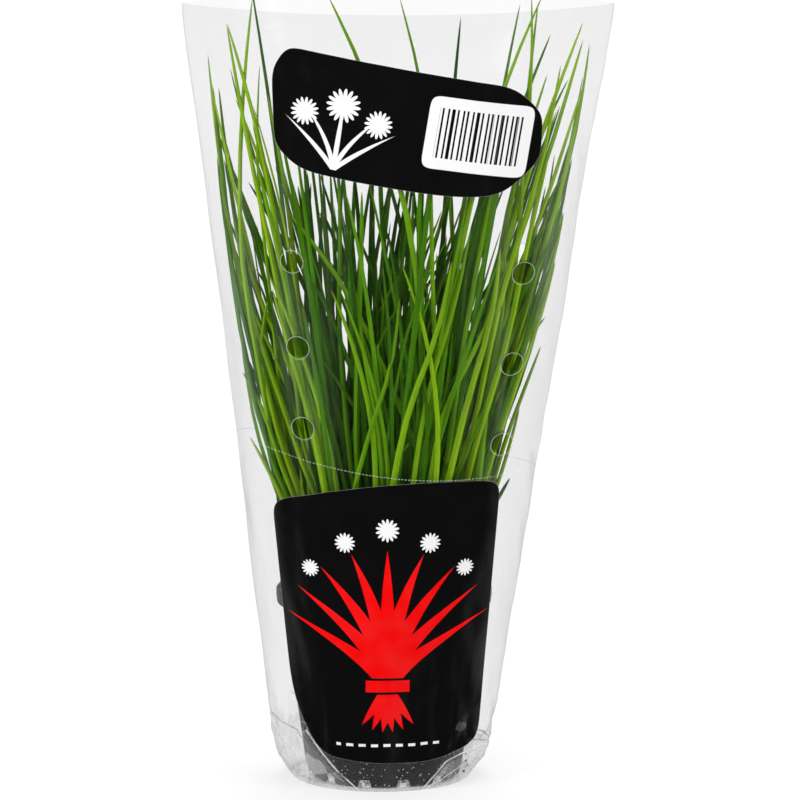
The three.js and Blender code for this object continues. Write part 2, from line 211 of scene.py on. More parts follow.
# %% A socket that can be reckoned with
class Wire:
    """An output socket of a material's node tree."""

    def __init__(self, tree, socket):
        self.tree = tree
        self.socket = socket

    @classmethod
    def node(cls, tree, kind, settings=None, sockets=None, output=0):
        made = tree.nodes.new(kind)
        for setting, value in (settings or {}).items():
            setattr(made, setting, value)
        for key, value in (sockets or {}).items():
            if isinstance(value, cls):
                tree.links.new(value.socket, made.inputs[key])
            else:
                made.inputs[key].default_value = value
        return cls(tree, made.outputs[output]) if made.outputs else None

    def math(self, operation, *others):
        sockets = dict(enumerate((self, *others)))
        return Wire.node(self.tree, "ShaderNodeMath", {"operation": operation}, sockets)

    def __add__(self, other):
        return self.math("ADD", other)

    def __sub__(self, other):
        return self.math("SUBTRACT", other)

    def __rsub__(self, other):
        return Wire.node(self.tree, "ShaderNodeMath", {"operation": "SUBTRACT"}, {0: other, 1: self})

    def __mul__(self, other):
        return self.math("MULTIPLY", other)

    def __truediv__(self, other):
        return self.math("DIVIDE", other)

    def __pow__(self, other):
        return self.math("POWER", other)

    def __abs__(self):
        return self.math("ABSOLUTE")

    def wave(self, step):
        """A sine wave of the value, which runs through one turn in 2 pi / step."""
        return (self * step).math("SINE")

    __radd__ = __add__
    __rmul__ = __mul__

    def ramp(self, low, high, to_low=0.0, to_high=1.0):
        """Goes smoothly from to_low to to_high while the value goes from low to high."""
        limits = {"Value": self, 1: low, 2: high, 3: to_low, 4: to_high}
        return Wire.node(self.tree, "ShaderNodeMapRange", {"interpolation_type": "SMOOTHSTEP"}, limits)


def new_finish(name):
    """An empty material and its node tree."""
    finish = bpy.data.materials.new(name)
    finish.use_nodes = True
    finish.node_tree.nodes.clear()
    return finish, finish.node_tree


def place_on(tree):
    """Where a point is on the object: the vector in metres, and x, y and z in millimetres."""
    spot = Wire.node(tree, "ShaderNodeTexCoord", output="Object")
    split = Wire.node(tree, "ShaderNodeSeparateXYZ", {}, {0: spot})
    return spot, [Wire(tree, socket) / MM for socket in split.socket.node.outputs]


def stretched(spot, scale):
    """The vector with its three sides stretched, for a grain that runs one way."""
    return Wire.node(spot.tree, "ShaderNodeMapping", {}, {"Vector": spot, "Scale": scale})


def mottle(spot, scale, detail=2.0, roughness=0.5):
    """Cloudy noise from 0 to 1."""
    sockets = {"Vector": spot, "Scale": scale, "Detail": detail, "Roughness": roughness}
    return Wire.node(spot.tree, "ShaderNodeTexNoise", {}, sockets)


def dye(first, *coats):
    """A colour with coats laid over it. Each coat is how much of it covers, and its own colour."""
    for share, second in coats:
        sockets = {0: share, 6: first, 7: second}
        first = Wire.node(share.tree, "ShaderNodeMix", {"data_type": "RGBA"}, sockets, output=2)
    return first


def relief(height, distance, strength=1.0):
    """A normal that a height bends, with the distance in millimetres."""
    sockets = {"Height": height, "Distance": distance * MM, "Strength": strength}
    return Wire.node(height.tree, "ShaderNodeBump", {}, sockets)


def attribute(tree, name):
    return Wire.node(tree, "ShaderNodeAttribute", {"attribute_name": name}, output="Fac")


def skin(tree, **looks):
    """The one shader of nearly every surface. An underscore stands for a space in a socket's name."""
    sockets = {look.replace("_", " "): value for look, value in looks.items()}
    return Wire.node(tree, "ShaderNodeBsdfPrincipled", {}, sockets)


def finish_with(tree, shader):
    Wire.node(tree, "ShaderNodeOutputMaterial", {}, {"Surface": shader})


def colour(red, green, blue):
    """A colour as a paint chart gives it, 0 to 255, made linear for the renderer."""
    linear = [((c / 255 + 0.055) / 1.055) ** 2.4 if c > 10 else c / 255 / 12.92 for c in (red, green, blue)]
    return (*linear, 1.0)


print("a middle grey is", [round(c, 3) for c in colour(128, 128, 128)])

# %% [markdown]
# ## The camera
#
# The plant is looked at from a little above, from two metres off, with a long lens, so that its uprights
# stay almost parallel. A short lens close by would spread the mouth of the sleeve. The camera comes first,
# because everything after it is judged through it.

# %% The camera
LENS = 233.0
CAMERA_AWAY, SEES_AS_FAR_AS = 2.03, 60
ELEVATION = math.radians(9.7)
AIM = Vector((6.3 * MM, 0, 150 * MM))

bpy.ops.object.camera_add()
camera = bpy.context.active_object
camera.name = "camera"
camera.data.lens = LENS
camera.data.clip_end = SEES_AS_FAR_AS
back = Vector((0, -math.cos(ELEVATION), math.sin(ELEVATION)))
camera.location = AIM + back * CAMERA_AWAY
camera.rotation_euler = back.to_track_quat("Z", "Y").to_euler()
bpy.context.scene.camera = camera
print("the camera stands at", tuple(round(c, 3) for c in camera.location))

# %% [markdown]
# ## Light and floor
#
# The light is a bright tent: white all round, with a large soft lamp on each side and one above. Film shows
# what it mirrors, and in a real studio the front of the tent is a dark opening behind the camera. So the
# surroundings are white for the eye and for diffuse light, but mirrored rays see dusk in front and
# brightness behind and above. The floor is a wide plain sheet that fills the view, and it is left out of
# the mirrored rays for the same reason. It is a light box: most of its white comes from below, a little
# more of it farther off, where the lamps no longer reach, and only the rest is lit by the lamps. So it is
# equally white all over, and the plant's shadow on it is faint.

# %% Light and floor
SKY_LIGHT = 0.34
GLOW_FROM, GLOW_TO = 200, 2600
GLOW_NEAR, GLOW_FAR = (0.62, 0.62, 0.62, 1), (0.93, 0.93, 0.93, 1)
LAMPS = {
    # name: place and size in metres, power in watts
    "lamp_left": ((-1.25, -0.95, 1.05), (0.7, 1.3), 22),
    "lamp_right": ((1.35, -0.75, 0.95), (0.7, 1.3), 16),
    "lamp_above": ((0.1, 0.35, 1.7), (1.2, 1.2), 30),
    "lamp_front": ((-0.35, -2.2, 1.5), (0.9, 0.9), 13),
}
LAMPS_AIM_AT = Vector((0, 0, 0.16))

world = bpy.data.worlds.new("tent")
bpy.context.scene.world = world
world.use_nodes = True
world.cycles.sampling_method = "NONE"
tent = world.node_tree
tent.nodes.clear()
ray = Wire.node(tent, "ShaderNodeLightPath").socket.node.outputs
towards = Wire.node(tent, "ShaderNodeTexCoord", output="Generated")
_, depth, height = Wire.node(tent, "ShaderNodeSeparateXYZ", {}, {0: towards}).socket.node.outputs
behind = Wire(tent, depth).ramp(0.0, 0.8, 0.01, 0.7)
overhead = Wire(tent, height).ramp(0.5, 0.95, 0.0, 0.5)
mirrored, seen = Wire(tent, ray["Is Glossy Ray"]), Wire(tent, ray["Is Camera Ray"])
strength = (behind + overhead) * mirrored + seen + (1 - mirrored - seen) * SKY_LIGHT
shine = Wire.node(tent, "ShaderNodeBackground", {}, {"Color": (1, 1, 1, 1), "Strength": strength})
Wire.node(tent, "ShaderNodeOutputWorld", {}, {"Surface": shine})


def hang_lamp(name, place, size, power):
    let_go()
    bpy.ops.object.light_add(type="AREA", location=place)
    lamp = bpy.context.active_object
    lamp.name = name
    lamp.data.shape = "RECTANGLE"
    lamp.data.size, lamp.data.size_y = size
    lamp.data.energy = power
    lamp.rotation_euler = (Vector(place) - LAMPS_AIM_AT).to_track_quat("Z", "Y").to_euler()


for name, (place, size, power) in LAMPS.items():
    hang_lamp(name, place, size, power)

let_go()
bpy.ops.mesh.primitive_plane_add(size=40)
floor = name_new("floor")
floor.visible_glossy = False
floor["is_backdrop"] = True
finish, tree = new_finish("white_floor")
_, (x, y, _) = place_on(tree)
away = (x * x + y * y) ** 0.5
glow = dye(GLOW_NEAR, (away.ramp(GLOW_FROM, GLOW_TO), GLOW_FAR))
matt = skin(tree, Base_Color=colour(137, 137, 137), Roughness=0.8, Emission_Color=glow, Emission_Strength=1.0)
finish_with(tree, matt)
finish.cycles.emission_sampling = "NONE"
wear(floor, finish)
bpy.context.scene.view_settings.view_transform = "Standard"
bpy.context.scene.cycles.transparent_max_bounces = 40
bpy.context.scene.cycles.max_bounces = 8

# %% [markdown]
# ## The nursery pot
#
# The pot is moulded from black plastic with a wall of about a millimetre. It has a stiff collar round its
# rim, and its foot ring is cut by twelve gaps, which let water run out under it. It could be a cone with a
# Solidify modifier, but then the collar and the foot would be missing. So its true section is turned, the
# gaps and the drain holes are cut with one Boolean, and a narrow bevel takes the sharpness off the edges.

# %% The pot's section
POT_HEIGHT = 75.0
RIM_RADIUS = 42.5
FOOT_RADIUS = 30.0
WALL = 1.1
COLLAR = 6.0
PROUD = 1.4
FOOT_HEIGHT = 3.6
FOOT_WIDTH = 2.4
POT_FLOOR = 1.4
STANDS_AT = 0.8
SLOPE = (RIM_RADIUS - PROUD - FOOT_RADIUS) / POT_HEIGHT


def pot_radius(height):
    """The outer radius of the pot's wall, height above its foot."""
    return FOOT_RADIUS + SLOPE * height


under_collar = POT_HEIGHT - COLLAR
inner_floor = FOOT_HEIGHT + POT_FLOOR
section = [
    (0, FOOT_HEIGHT),
    (FOOT_RADIUS - FOOT_WIDTH, FOOT_HEIGHT),
    (FOOT_RADIUS - FOOT_WIDTH, 0),
    (FOOT_RADIUS - 0.6, 0),
    (FOOT_RADIUS, 0.8),
    (pot_radius(FOOT_HEIGHT + 0.6), FOOT_HEIGHT + 0.6),
    (pot_radius(FOOT_HEIGHT + 1) + 0.25, FOOT_HEIGHT + 1),
    (pot_radius(under_collar), under_collar),
    (RIM_RADIUS - 0.3, under_collar + 0.4),
    (RIM_RADIUS - 0.25, under_collar + 2.2),
    (RIM_RADIUS, under_collar + 2.5),
    (RIM_RADIUS, POT_HEIGHT - 0.8),
    (RIM_RADIUS - 0.6, POT_HEIGHT),
    (RIM_RADIUS - 0.6 - WALL, POT_HEIGHT),
    (RIM_RADIUS - 0.9 - WALL, under_collar + 1),
    (pot_radius(under_collar) - WALL, under_collar - 0.6),
    (pot_radius(inner_floor + 2) - WALL, inner_floor + 2),
    (pot_radius(inner_floor) - WALL - 1.6, inner_floor),
    (0, inner_floor),
]
section = [(radius * MM, (height + STANDS_AT) * MM) for radius, height in section]
pot = turn_profile("nursery_pot", section, 120)
print("the turned pot has", faces_in(pot), "faces")

# %% The gaps in the foot and the drain holes
GAPS, GAP_WIDTH, GAP_NARROWS, GAP_RUN = 12, 7.0, 2.4, 7
GAP_TOP = FOOT_HEIGHT - 0.2 + STANDS_AT
DRAINS, DRAIN_RADIUS, DRAIN_CIRCLE, DRAIN_LENGTH = 6, 3.2, 19.0, 8
EDGE_BEVEL = 0.18


def gap_wedge(i):
    """A block that narrows upwards, for one gap of the foot ring."""
    let_go()
    bpy.ops.mesh.primitive_cube_add(size=1, location=(FOOT_RADIUS * MM, 0, 0.5 * GAP_TOP * MM - MM))
    wedge = name_new("wedge")
    bpy.ops.object.mode_set(mode="EDIT")
    bpy.ops.transform.resize(value=(GAP_RUN * MM, GAP_WIDTH * MM, (GAP_TOP + 2) * MM))
    pick(wedge, "faces", lambda face: face.normal.z > 0.5)
    bpy.ops.transform.resize(value=(1, 1 - GAP_NARROWS / GAP_WIDTH, 1))
    bpy.ops.object.mode_set(mode="OBJECT")
    settle(wedge)
    wedge.rotation_euler.z = math.radians(360 * (i + 0.5) / GAPS)
    return wedge


def bar(name, sides, radius, length, place, turn=0.0):
    """A round bar, in millimetres, that is turned round X."""
    let_go()
    sizes = {"radius": radius * MM, "depth": length * MM, "location": [v * MM for v in place]}
    bpy.ops.mesh.primitive_cylinder_add(vertices=sides, rotation=(turn, 0, 0), **sizes)
    return name_new(name)


waste = [gap_wedge(i) for i in range(GAPS)]
for angle in [2 * math.pi * i / DRAINS for i in range(DRAINS)]:
    place = (DRAIN_CIRCLE * math.cos(angle), DRAIN_CIRCLE * math.sin(angle), 5)
    waste.append(bar("drain", 32, DRAIN_RADIUS, DRAIN_LENGTH, place))
cut_away(pot, waste)
sharp = {"limit_method": "ANGLE", "angle_limit": math.radians(35)}
apply_modifier(pot, "BEVEL", width=EDGE_BEVEL * MM, segments=2, **sharp)
smooth(pot, 40)
print("the cut pot has", faces_in(pot), "faces")

# %% [markdown]
# ## The pot's plastic
#
# Recycled black plastic is never quite black. It is satin, with a fine moulded grain, faint rings from the
# mould, a little dust that has dried on from watering, and pale grains low down, where the bench was
# gritty. They are added up as one relief and one shade of colour.

# %% Black moulded plastic
finish, tree = new_finish("black_plastic")
spot, (_, _, z) = place_on(tree)
grain = mottle(spot, 2600.0, 3.0)
scuffs = mottle(stretched(spot, (1, 1, 3.5)), 240.0, 4.0, 0.6)
dust = mottle(spot, 75.0, 5.0, 0.62).ramp(0.5, 0.72)
rings = z.wave(2.9)
grains = Wire.node(tree, "ShaderNodeTexVoronoi", {}, {"Vector": spot, "Scale": 560.0})
specks = (1 - grains.ramp(0.13, 0.2)) * (1 - z.ramp(14, 34))
shade = dye(colour(26, 26, 27), (dust * 0.5, colour(66, 63, 59)), (specks, colour(196, 194, 186)))
rough = scuffs.ramp(0.3, 0.7, 0.34, 0.52) + dust * 0.2
normal = relief(grain * 0.5 + rings * 0.05 + scuffs * 0.3, 0.12, 0.5)
finish_with(tree, skin(tree, Base_Color=shade, Roughness=rough, Normal=normal))
wear(pot, finish)
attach(pot, "root")
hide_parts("pot")
print("finished", pot.name)

# %% [markdown]
# ## The potting mix
#
# Potting mix is peat and bark crumbs with a few white grains of perlite. A sculpted disc alone looks like
# mud, and a heap of loose crumbs alone has no body. So a solid bed fills the pot, its top raised in lumps
# by noise, and some hundreds of crumbs, chips and white grains lie half sunk in it. Each kind of crumb is
# modelled once and copied.

# %% The bed
SOIL_LEVEL = STANDS_AT + POT_HEIGHT - 9.5
LUMPS = 0.9
CRUMBLY, CRUMB_WIDTH = 0.45, 2.1
BED_ROOM, BED_ROUNDING, BED_RINGS = 0.45, 2.2, 26


def lump(x, y):
    """The broad lumps of the bed, in millimetres, from four crossing waves."""
    waves = [(0.31, 0.17, 0.4), (-0.22, 0.47, 1.9), (0.63, -0.41, 4.1), (0.12, 0.83, 2.7)]
    return LUMPS * sum(math.sin(a * x + b * y + c) for a, b, c in waves) / len(waves)


bed_low = STANDS_AT + inner_floor + 0.3
bed_edge = pot_radius(SOIL_LEVEL - 1 - STANDS_AT) - WALL - BED_ROOM
bed_foot = pot_radius(bed_low - STANDS_AT) - WALL - BED_ROOM
bed_section = [(0, bed_low), (bed_foot - BED_ROUNDING, bed_low), (bed_foot, bed_low + BED_ROUNDING)]
bed_section += [(bed_edge * (1 - i / BED_RINGS), SOIL_LEVEL) for i in range(BED_RINGS + 1)]
soil = turn_profile("soil_bed", [(r * MM, z * MM) for r, z in bed_section], 96)
places = points_of(soil) / MM
for row in places:
    if row[2] > SOIL_LEVEL - 0.01:
        crumbly = noise.fractal(Vector((row[0], row[1], 3.0)) / CRUMB_WIDTH, 0.6, 2.0, 4)
        row[2] += lump(row[0], row[1]) + CRUMBLY * crumbly
move_points(soil, places * MM)
hold(soil)
bpy.ops.object.shade_smooth()
print("the bed has", faces_in(soil), "faces")

# %% Crumbs, chips and perlite
CRUMB_KINDS = {
    # name: how many, size in millimetres, stretch along and across, colour tone
    "peat_crumb": (420, (0.5, 1.5), (1.0, 0.8), 0.0),
    "bark_chip": (110, (0.9, 1.9), (1.9, 0.45), 0.45),
    "perlite": (60, (0.5, 1.1), (1.0, 0.9), 1.0),
}
FROM_EDGE, SUNK = 1.5, 0.35
shuffle = np.random.default_rng(611)


def merge_copies(name, copies):
    """One mesh from many: each copy is its places, its faces and what it says of itself."""
    mesh = bpy.data.meshes.new(name)
    starts = np.cumsum([0] + [len(places) for places, _, _ in copies])
    faces = []
    for start, (_, polygons, _) in zip(starts, copies):
        faces += [tuple(int(start) + v for v in face) for face in polygons]
    mesh.from_pydata(np.concatenate([places for places, _, _ in copies]) * MM, [], faces)
    for key in copies[0][2]:
        tell(mesh, key, np.concatenate([facts[key] for _, _, facts in copies]))
    mesh.update()
    piece = bpy.data.objects.new(name, mesh)
    bpy.context.scene.collection.objects.link(piece)
    return piece


def take_pattern():
    """The places and faces of the active mesh, whose object is then removed."""
    pattern = bpy.context.active_object
    places = points_of(pattern)
    polygons = [tuple(face.vertices) for face in pattern.data.polygons]
    bpy.data.objects.remove(pattern)
    return places, polygons


def knobbly(low, high, stretch):
    """A copy of the ball with each corner pushed in or out by chance, then stretched."""
    return ball * shuffle.uniform(low, high, (len(ball), 1)) * stretch


let_go()
bpy.ops.mesh.primitive_ico_sphere_add(subdivisions=1, radius=1)
ball, ball_faces = take_pattern()
crumbs = []
for count, sizes, (along, across), tone in CRUMB_KINDS.values():
    for _ in range(count):
        crumb = knobbly(0.7, 1.15, (along, across, across))
        tilt = shuffle.uniform(-0.5, 0.5)
        spin = shuffle.uniform(0, 2 * math.pi)
        c, s = math.cos(spin), math.sin(spin)
        turned = np.array([[c, -s, 0], [s, c, 0], [0, 0, 1]])
        c, s = math.cos(tilt), math.sin(tilt)
        tilted = np.array([[c, 0, s], [0, 1, 0], [-s, 0, c]])
        far = (bed_edge - FROM_EDGE) * math.sqrt(shuffle.uniform(0, 1))
        bearing = shuffle.uniform(0, 2 * math.pi)
        x, y = far * math.cos(bearing), far * math.sin(bearing)
        size = shuffle.uniform(*sizes)
        middle = (x, y, SOIL_LEVEL + lump(x, y) + SUNK * size)
        tones = np.full(len(ball), min(1.0, tone + shuffle.uniform(0, 0.3)))
        crumbs.append((crumb * size @ tilted.T @ turned.T + middle, ball_faces, {"tone": tones}))
loose = merge_copies("soil_crumbs", crumbs)
print(len(crumbs), "crumbs with", faces_in(loose), "faces")

# %% [markdown]
# ## The colour of the mix
#
# Moist peat is almost black, drying crumbs turn brown, and perlite is white. The bed reads its shade from
# noise, and each crumb carries a tone of its own, which picks its colour from a ramp.

# %% Peat, bark and perlite
def mix_finish(name, toned):
    finish, tree = new_finish(name)
    spot, _ = place_on(tree)
    coarse = mottle(spot, 420.0, 6.0, 0.65)
    fine = mottle(spot, 1900.0, 4.0, 0.7)
    shade = dye(colour(24, 17, 12), (coarse.ramp(0.35, 0.7), colour(74, 54, 38)))
    if toned:
        tone = attribute(tree, "tone")
        shade = dye(shade, (tone.ramp(0.3, 0.6), colour(104, 74, 48)))
        shade = dye(shade, (tone.ramp(0.9, 0.97), colour(205, 200, 190)))
    normal = relief(coarse + fine * 0.6, 0.5)
    finish_with(tree, skin(tree, Base_Color=shade, Roughness=0.95, Normal=normal))
    return finish


loose_mix = mix_finish("loose_mix", True)
wear(soil, mix_finish("moist_mix", False))
wear(loose, loose_mix)
for piece in (soil, loose):
    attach(piece, "root")
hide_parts("soil")
print("finished the potting mix")

# %% [markdown]
# ## The sleeve's shape as a rule
#
# The leaves have to know where the film is, so the sleeve's outline comes before them. At each height the
# bag has a half width, a half depth and an edge, which says how pinched its two side seams are: 0.5 makes
# an ellipse and 1 a lens. Its vent holes are listed here too, because the leaves behind them are painted
# dark, a painted shade. All lengths in this rule and the next are millimetres, as the solid model's are.

# %% The sleeve's outline
STATIONS = [
    # height, half width, half depth, edge
    (0, 33.5, 31.6, 0.5),
    (3, 37.5, 32.6, 0.52),
    (8, 41, 33.4, 0.58),
    (20, 44, 35.6, 0.7),
    (42, 47, 39.4, 0.85),
    (72, 51.2, 45.4, 0.85),
    (130, 59.1, 48, 0.85),
    (190, 67.4, 49.6, 0.84),
    (250, 75.6, 51, 0.82),
    (306, 83.3, 52, 0.8),
]
HEIGHTS, *SIDES = zip(*STATIONS)
SLEEVE_TOP = 306.0
LEAN_BASE, LEAN_TOP = -1.2, 5.6


def sleeve_at(z):
    """Half width, half depth, edge and middle of the sleeve at a height."""
    middle = LEAN_BASE + (LEAN_TOP - LEAN_BASE) * z / SLEEVE_TOP
    return *(np.interp(z, HEIGHTS, side) for side in SIDES), middle


def film_depth(x, z):
    """How far the film is from the middle plane, at a place on it."""
    half_width, half_depth, edge, middle = sleeve_at(z)
    return half_depth * (1 - min(1.0, abs(x - middle) / half_width) ** 2) ** edge


print("the mouth is", 2 * sleeve_at(SLEEVE_TOP)[0], "mm wide and", 2 * sleeve_at(SLEEVE_TOP)[1], "mm deep")

# %% Where its vent holes are
PUNCHED = [
    # middle, height, distance from the middle, how much lower the right one is, radius
    (7.3, 141, 38.5, 4, 4.3),
    (8.3, 172.5, 41.3, 4, 4.3),
    (9.3, 207, 44.5, 3, 4.3),
    (-0.8, 24, 31.2, 0, 1.9),
]
holes = [(m + s * out, z - s * drop, radius) for m, z, out, drop, radius in PUNCHED for s in (-1, 1)]


def hole_distances(x, z):
    """How far a point is from the rim of each hole, seen square to the bag. Negative inside."""
    on_film = Wire.node(x.tree, "ShaderNodeCombineXYZ", {}, {"X": x, "Z": z})
    far = {"operation": "DISTANCE"}
    return [
        Wire.node(x.tree, "ShaderNodeVectorMath", far, {0: on_film, 1: (mx, 0, mz)}, "Value") - radius
        for mx, mz, radius in holes
    ]


print(len(holes), "pairs of holes, one of each pair in front and one behind")

# %% [markdown]
# ## Sowing: forty-five tufts
#
# The grower's seeds fall in clusters, and each cluster grows into a tuft of five or six leaves. Scattering
# leaves at random would leave bald spots, so the tufts stand on a sunflower spiral, each shaken a little.
# The stream of chance numbers has a seed, and its draws come in the order of the solid model's, so that
# each leaf grows where its solid is.

# %% A repeatable stream of chance
SEED = 20261
WORD = 0xFFFFFFFF


class Chance:
    """A stream of numbers from 0 to 1, the same on every run."""

    def __init__(self, seed):
        self.state = seed

    def draw(self):
        self.state = (self.state + 0x6D2B79F5) & WORD
        t = ((self.state ^ (self.state >> 15)) * (self.state | 1)) & WORD
        t = (t + (((t ^ (t >> 7)) * (t | 61)) & WORD)) & WORD ^ t
        return ((t ^ (t >> 14)) & WORD) / (WORD + 1)

    def between(self, low, high):
        return low + (high - low) * self.draw()

    def bell(self):
        """Roughly a bell curve, from -1 to 1."""
        return (self.draw() + self.draw() + self.draw() + self.draw()) / 2 - 1


print("the first draw is", round(Chance(SEED).draw(), 6))

# %% How a leaf grows
TUFTS = 45
TUFT_CIRCLE = 32.5
ROOT_CIRCLE = 0.98
CROWN_HEIGHT = 5.0
KNOTS = [0, 0.1, 0.33, 0.58, 0.82, 1]
TAPER = [0.45, 0.85, 1, 0.95, 0.74, 0]
COLLAR_RADIUS, COLLAR_RISE = 2.9, 9.0
OUTWARDS, DEPTH_SHARE, FROM_CROWN, ASIDE, PARTING, SWAY, DROOP = 0.1, 0.7, 0.03, 0.02, 0.04, 0.1, 0.6
USUAL_TIP, TIP_SPREAD, TALL_FROM, TALLEST, SLANTING_TIP = 229, 124, 286, 322, 265
TALL_SHARE, SLANTING_SHARE, SIXTH_SHARE = 0.05, 0.1, 0.45
OLD_TONES = (0.0, 0.7)


def turn(angle, length=1.0):
    return np.array([math.cos(angle), math.sin(angle), 0.0]) * length


def sow(chance):
    places = []
    for i in range(TUFTS):
        spiral = turn(i * 2.39996, TUFT_CIRCLE * math.sqrt((i + 0.5) / TUFTS))
        place = spiral + turn(chance.between(0, 2 * math.pi)) * chance.between(0, 0.9)
        places.append(place * min(1.0, TUFT_CIRCLE / np.linalg.norm(place)))
    return [{"place": place, "spin": chance.between(0, math.pi)} for place in places]


def habit(chance, order):
    """How high the tip comes, how far the leaf may slant, and how far it arches over."""
    if order == 5:
        return chance.between(100, 175), 0.3, chance.between(0.05, 0.3)
    tall = chance.draw() < TALL_SHARE
    usual = min(USUAL_TIP + TIP_SPREAD * chance.bell(), TALL_FROM)
    tip = chance.between(TALL_FROM, TALLEST) if tall else usual
    if chance.draw() < SLANTING_SHARE:
        return min(tip, SLANTING_TIP), 0.9, 0.16
    return tip, 0.16, 0.04 + 0.5 * abs(chance.bell()) ** 1.4


def middle_line(chance, tuft, outwards, root, tip, slant, arch, sway=SWAY):
    """The knots of a leaf's middle line before its neighbours push it aside."""
    reach = tip - root[2]
    x, y, _ = tuft["place"]
    spread = np.array([x, DEPTH_SHARE * y, 0]) * OUTWARDS / TUFT_CIRCLE
    aside = slant * chance.bell() + ASIDE + PARTING * np.sign(x)
    lean = np.array([aside, sway * chance.bell(), 0]) + spread + outwards * FROM_CROWN
    bend = turn(chance.between(0, 2 * math.pi)) * arch + spread
    line = []
    for t in KNOTS:
        point = root + lean * reach * t + bend * reach * t * t
        point[2] = root[2] + reach * (t - DROOP * arch * t**4)
        line.append(point)
    return line


def leaf_of(tuft, line, width, facing, twist, tones, room=0.0):
    """A leaf as this lesson keeps it: its middle line and all that its blade needs."""
    leaf = {"tuft": tuft, "line": [list(p) for p in line], "width": width, "facing": facing, "twist": twist}
    return leaf | {"tones": tones, "room": room, "firm": False}


def grow_leaf(chance, tuft, order, count):
    angle = tuft["spin"] + 2 * math.pi * order / count + chance.between(-0.12, 0.12)
    outwards = turn(angle)
    root = tuft["place"] + outwards * ROOT_CIRCLE
    root[2] = SOIL_LEVEL + CROWN_HEIGHT - 0.4
    tip, slant, arch = habit(chance, order)
    line = middle_line(chance, tuft, outwards, root, tip, slant, arch)
    line[1] = tuft["place"] + outwards * COLLAR_RADIUS
    line[1][2] = root[2] + COLLAR_RISE
    width = 1.5 if order == 5 else chance.between(1.9, 2.5)
    return leaf_of(tuft, line, width, angle, chance.between(-1.5, 1.5), OLD_TONES)


chance = Chance(SEED)
tufts = sow(chance)
leaves = []
for tuft in tufts:
    count = 6 if chance.draw() < SIXTH_SHARE else 5
    leaves += [grow_leaf(chance, tuft, order, count) for order in range(count)]
print(len(leaves), "leaves in", len(tufts), "tufts")

# %% [markdown]
# ## Room for every leaf
#
# Real leaves push each other aside. A physics simulation of hundreds of blades would be slow and would come
# out differently each time. So each leaf is a chain of five stretches: wherever two stretches are nearer
# than their half widths, both are moved apart, sharp kinks are eased, and the film and the pot's rim hold
# every knot inside. After some forty rounds nothing touches.

# %% Pushing the leaves clear of each other
ROOM_SIDES, ROOM_FACES = 4.0, 2.6
ROOM_RIM, ROOM_RIM_TOP = RIM_RADIUS - 4.3, STANDS_AT + POT_HEIGHT + 3
KINK, EASING = 0.05, 0.15
BOX_ROOM = 1.4
PUSH, NUDGE = 0.55, 0.02


def keep_inside(point, room):
    """Holds a knot inside the pot's rim or the film, and by so much room more at the sides."""
    if point[2] <= ROOM_RIM_TOP:
        radius = math.hypot(point[0], point[1])
        if radius > ROOM_RIM:
            point[0] *= ROOM_RIM / radius
            point[1] *= ROOM_RIM / radius
        return
    half_width, half_depth, edge, middle = sleeve_at(min(point[2], SLEEVE_TOP))
    width = half_width - ROOM_SIDES - room
    across = clamp((point[0] - middle) / width, -0.97, 0.97)
    depth = (half_depth - ROOM_FACES) * (1 - across * across) ** edge
    point[0] = middle + across * width
    point[1] = clamp(point[1], -depth, depth)


def ease_kinks(line):
    for k in range(2, len(line) - 1):
        before, here, after = line[k - 1], line[k], line[k + 1]
        share = (KNOTS[k] - KNOTS[k - 1]) / (KNOTS[k + 1] - KNOTS[k - 1])
        off = [b + (a - b) * share - h for b, a, h in zip(before, after, here)]
        if math.hypot(*off) > KINK * math.dist(before, after):
            for axis in range(3):
                here[axis] += EASING * off[axis]


def dot(a, b):
    return a[0] * b[0] + a[1] * b[1] + a[2] * b[2]


def find_nearest(a0, a1, b0, b1):
    """The nearest points of two stretches: their shares along them, and the way from b's to a's."""
    along_a = [a1[0] - a0[0], a1[1] - a0[1], a1[2] - a0[2]]
    along_b = [b1[0] - b0[0], b1[1] - b0[1], b1[2] - b0[2]]
    way = [a0[0] - b0[0], a0[1] - b0[1], a0[2] - b0[2]]
    aa, bb, ab = dot(along_a, along_a), dot(along_b, along_b), dot(along_a, along_b)
    aw, bw = dot(along_a, way), dot(along_b, way)
    slack = aa * bb - ab * ab
    s = clamp((ab * bw - aw * bb) / slack) if slack > 1e-9 else 0.5
    t = clamp((ab * s + bw) / bb)
    s = clamp((ab * t - aw) / aa)
    return s, t, [w + p * s - q * t for w, p, q in zip(way, along_a, along_b)]


def shove(line, index, share, way, amount):
    """Moves a stretch's nearest point by moving its two ends. A root stays."""
    low, high = (0.0 if index == 0 else 1 - share), share
    whole = low * low + high * high
    if whole < 0.04:
        return
    for axis in range(2):
        line[index][axis] += way[axis] * amount * low / whole
        line[index + 1][axis] += way[axis] * amount * high / whole


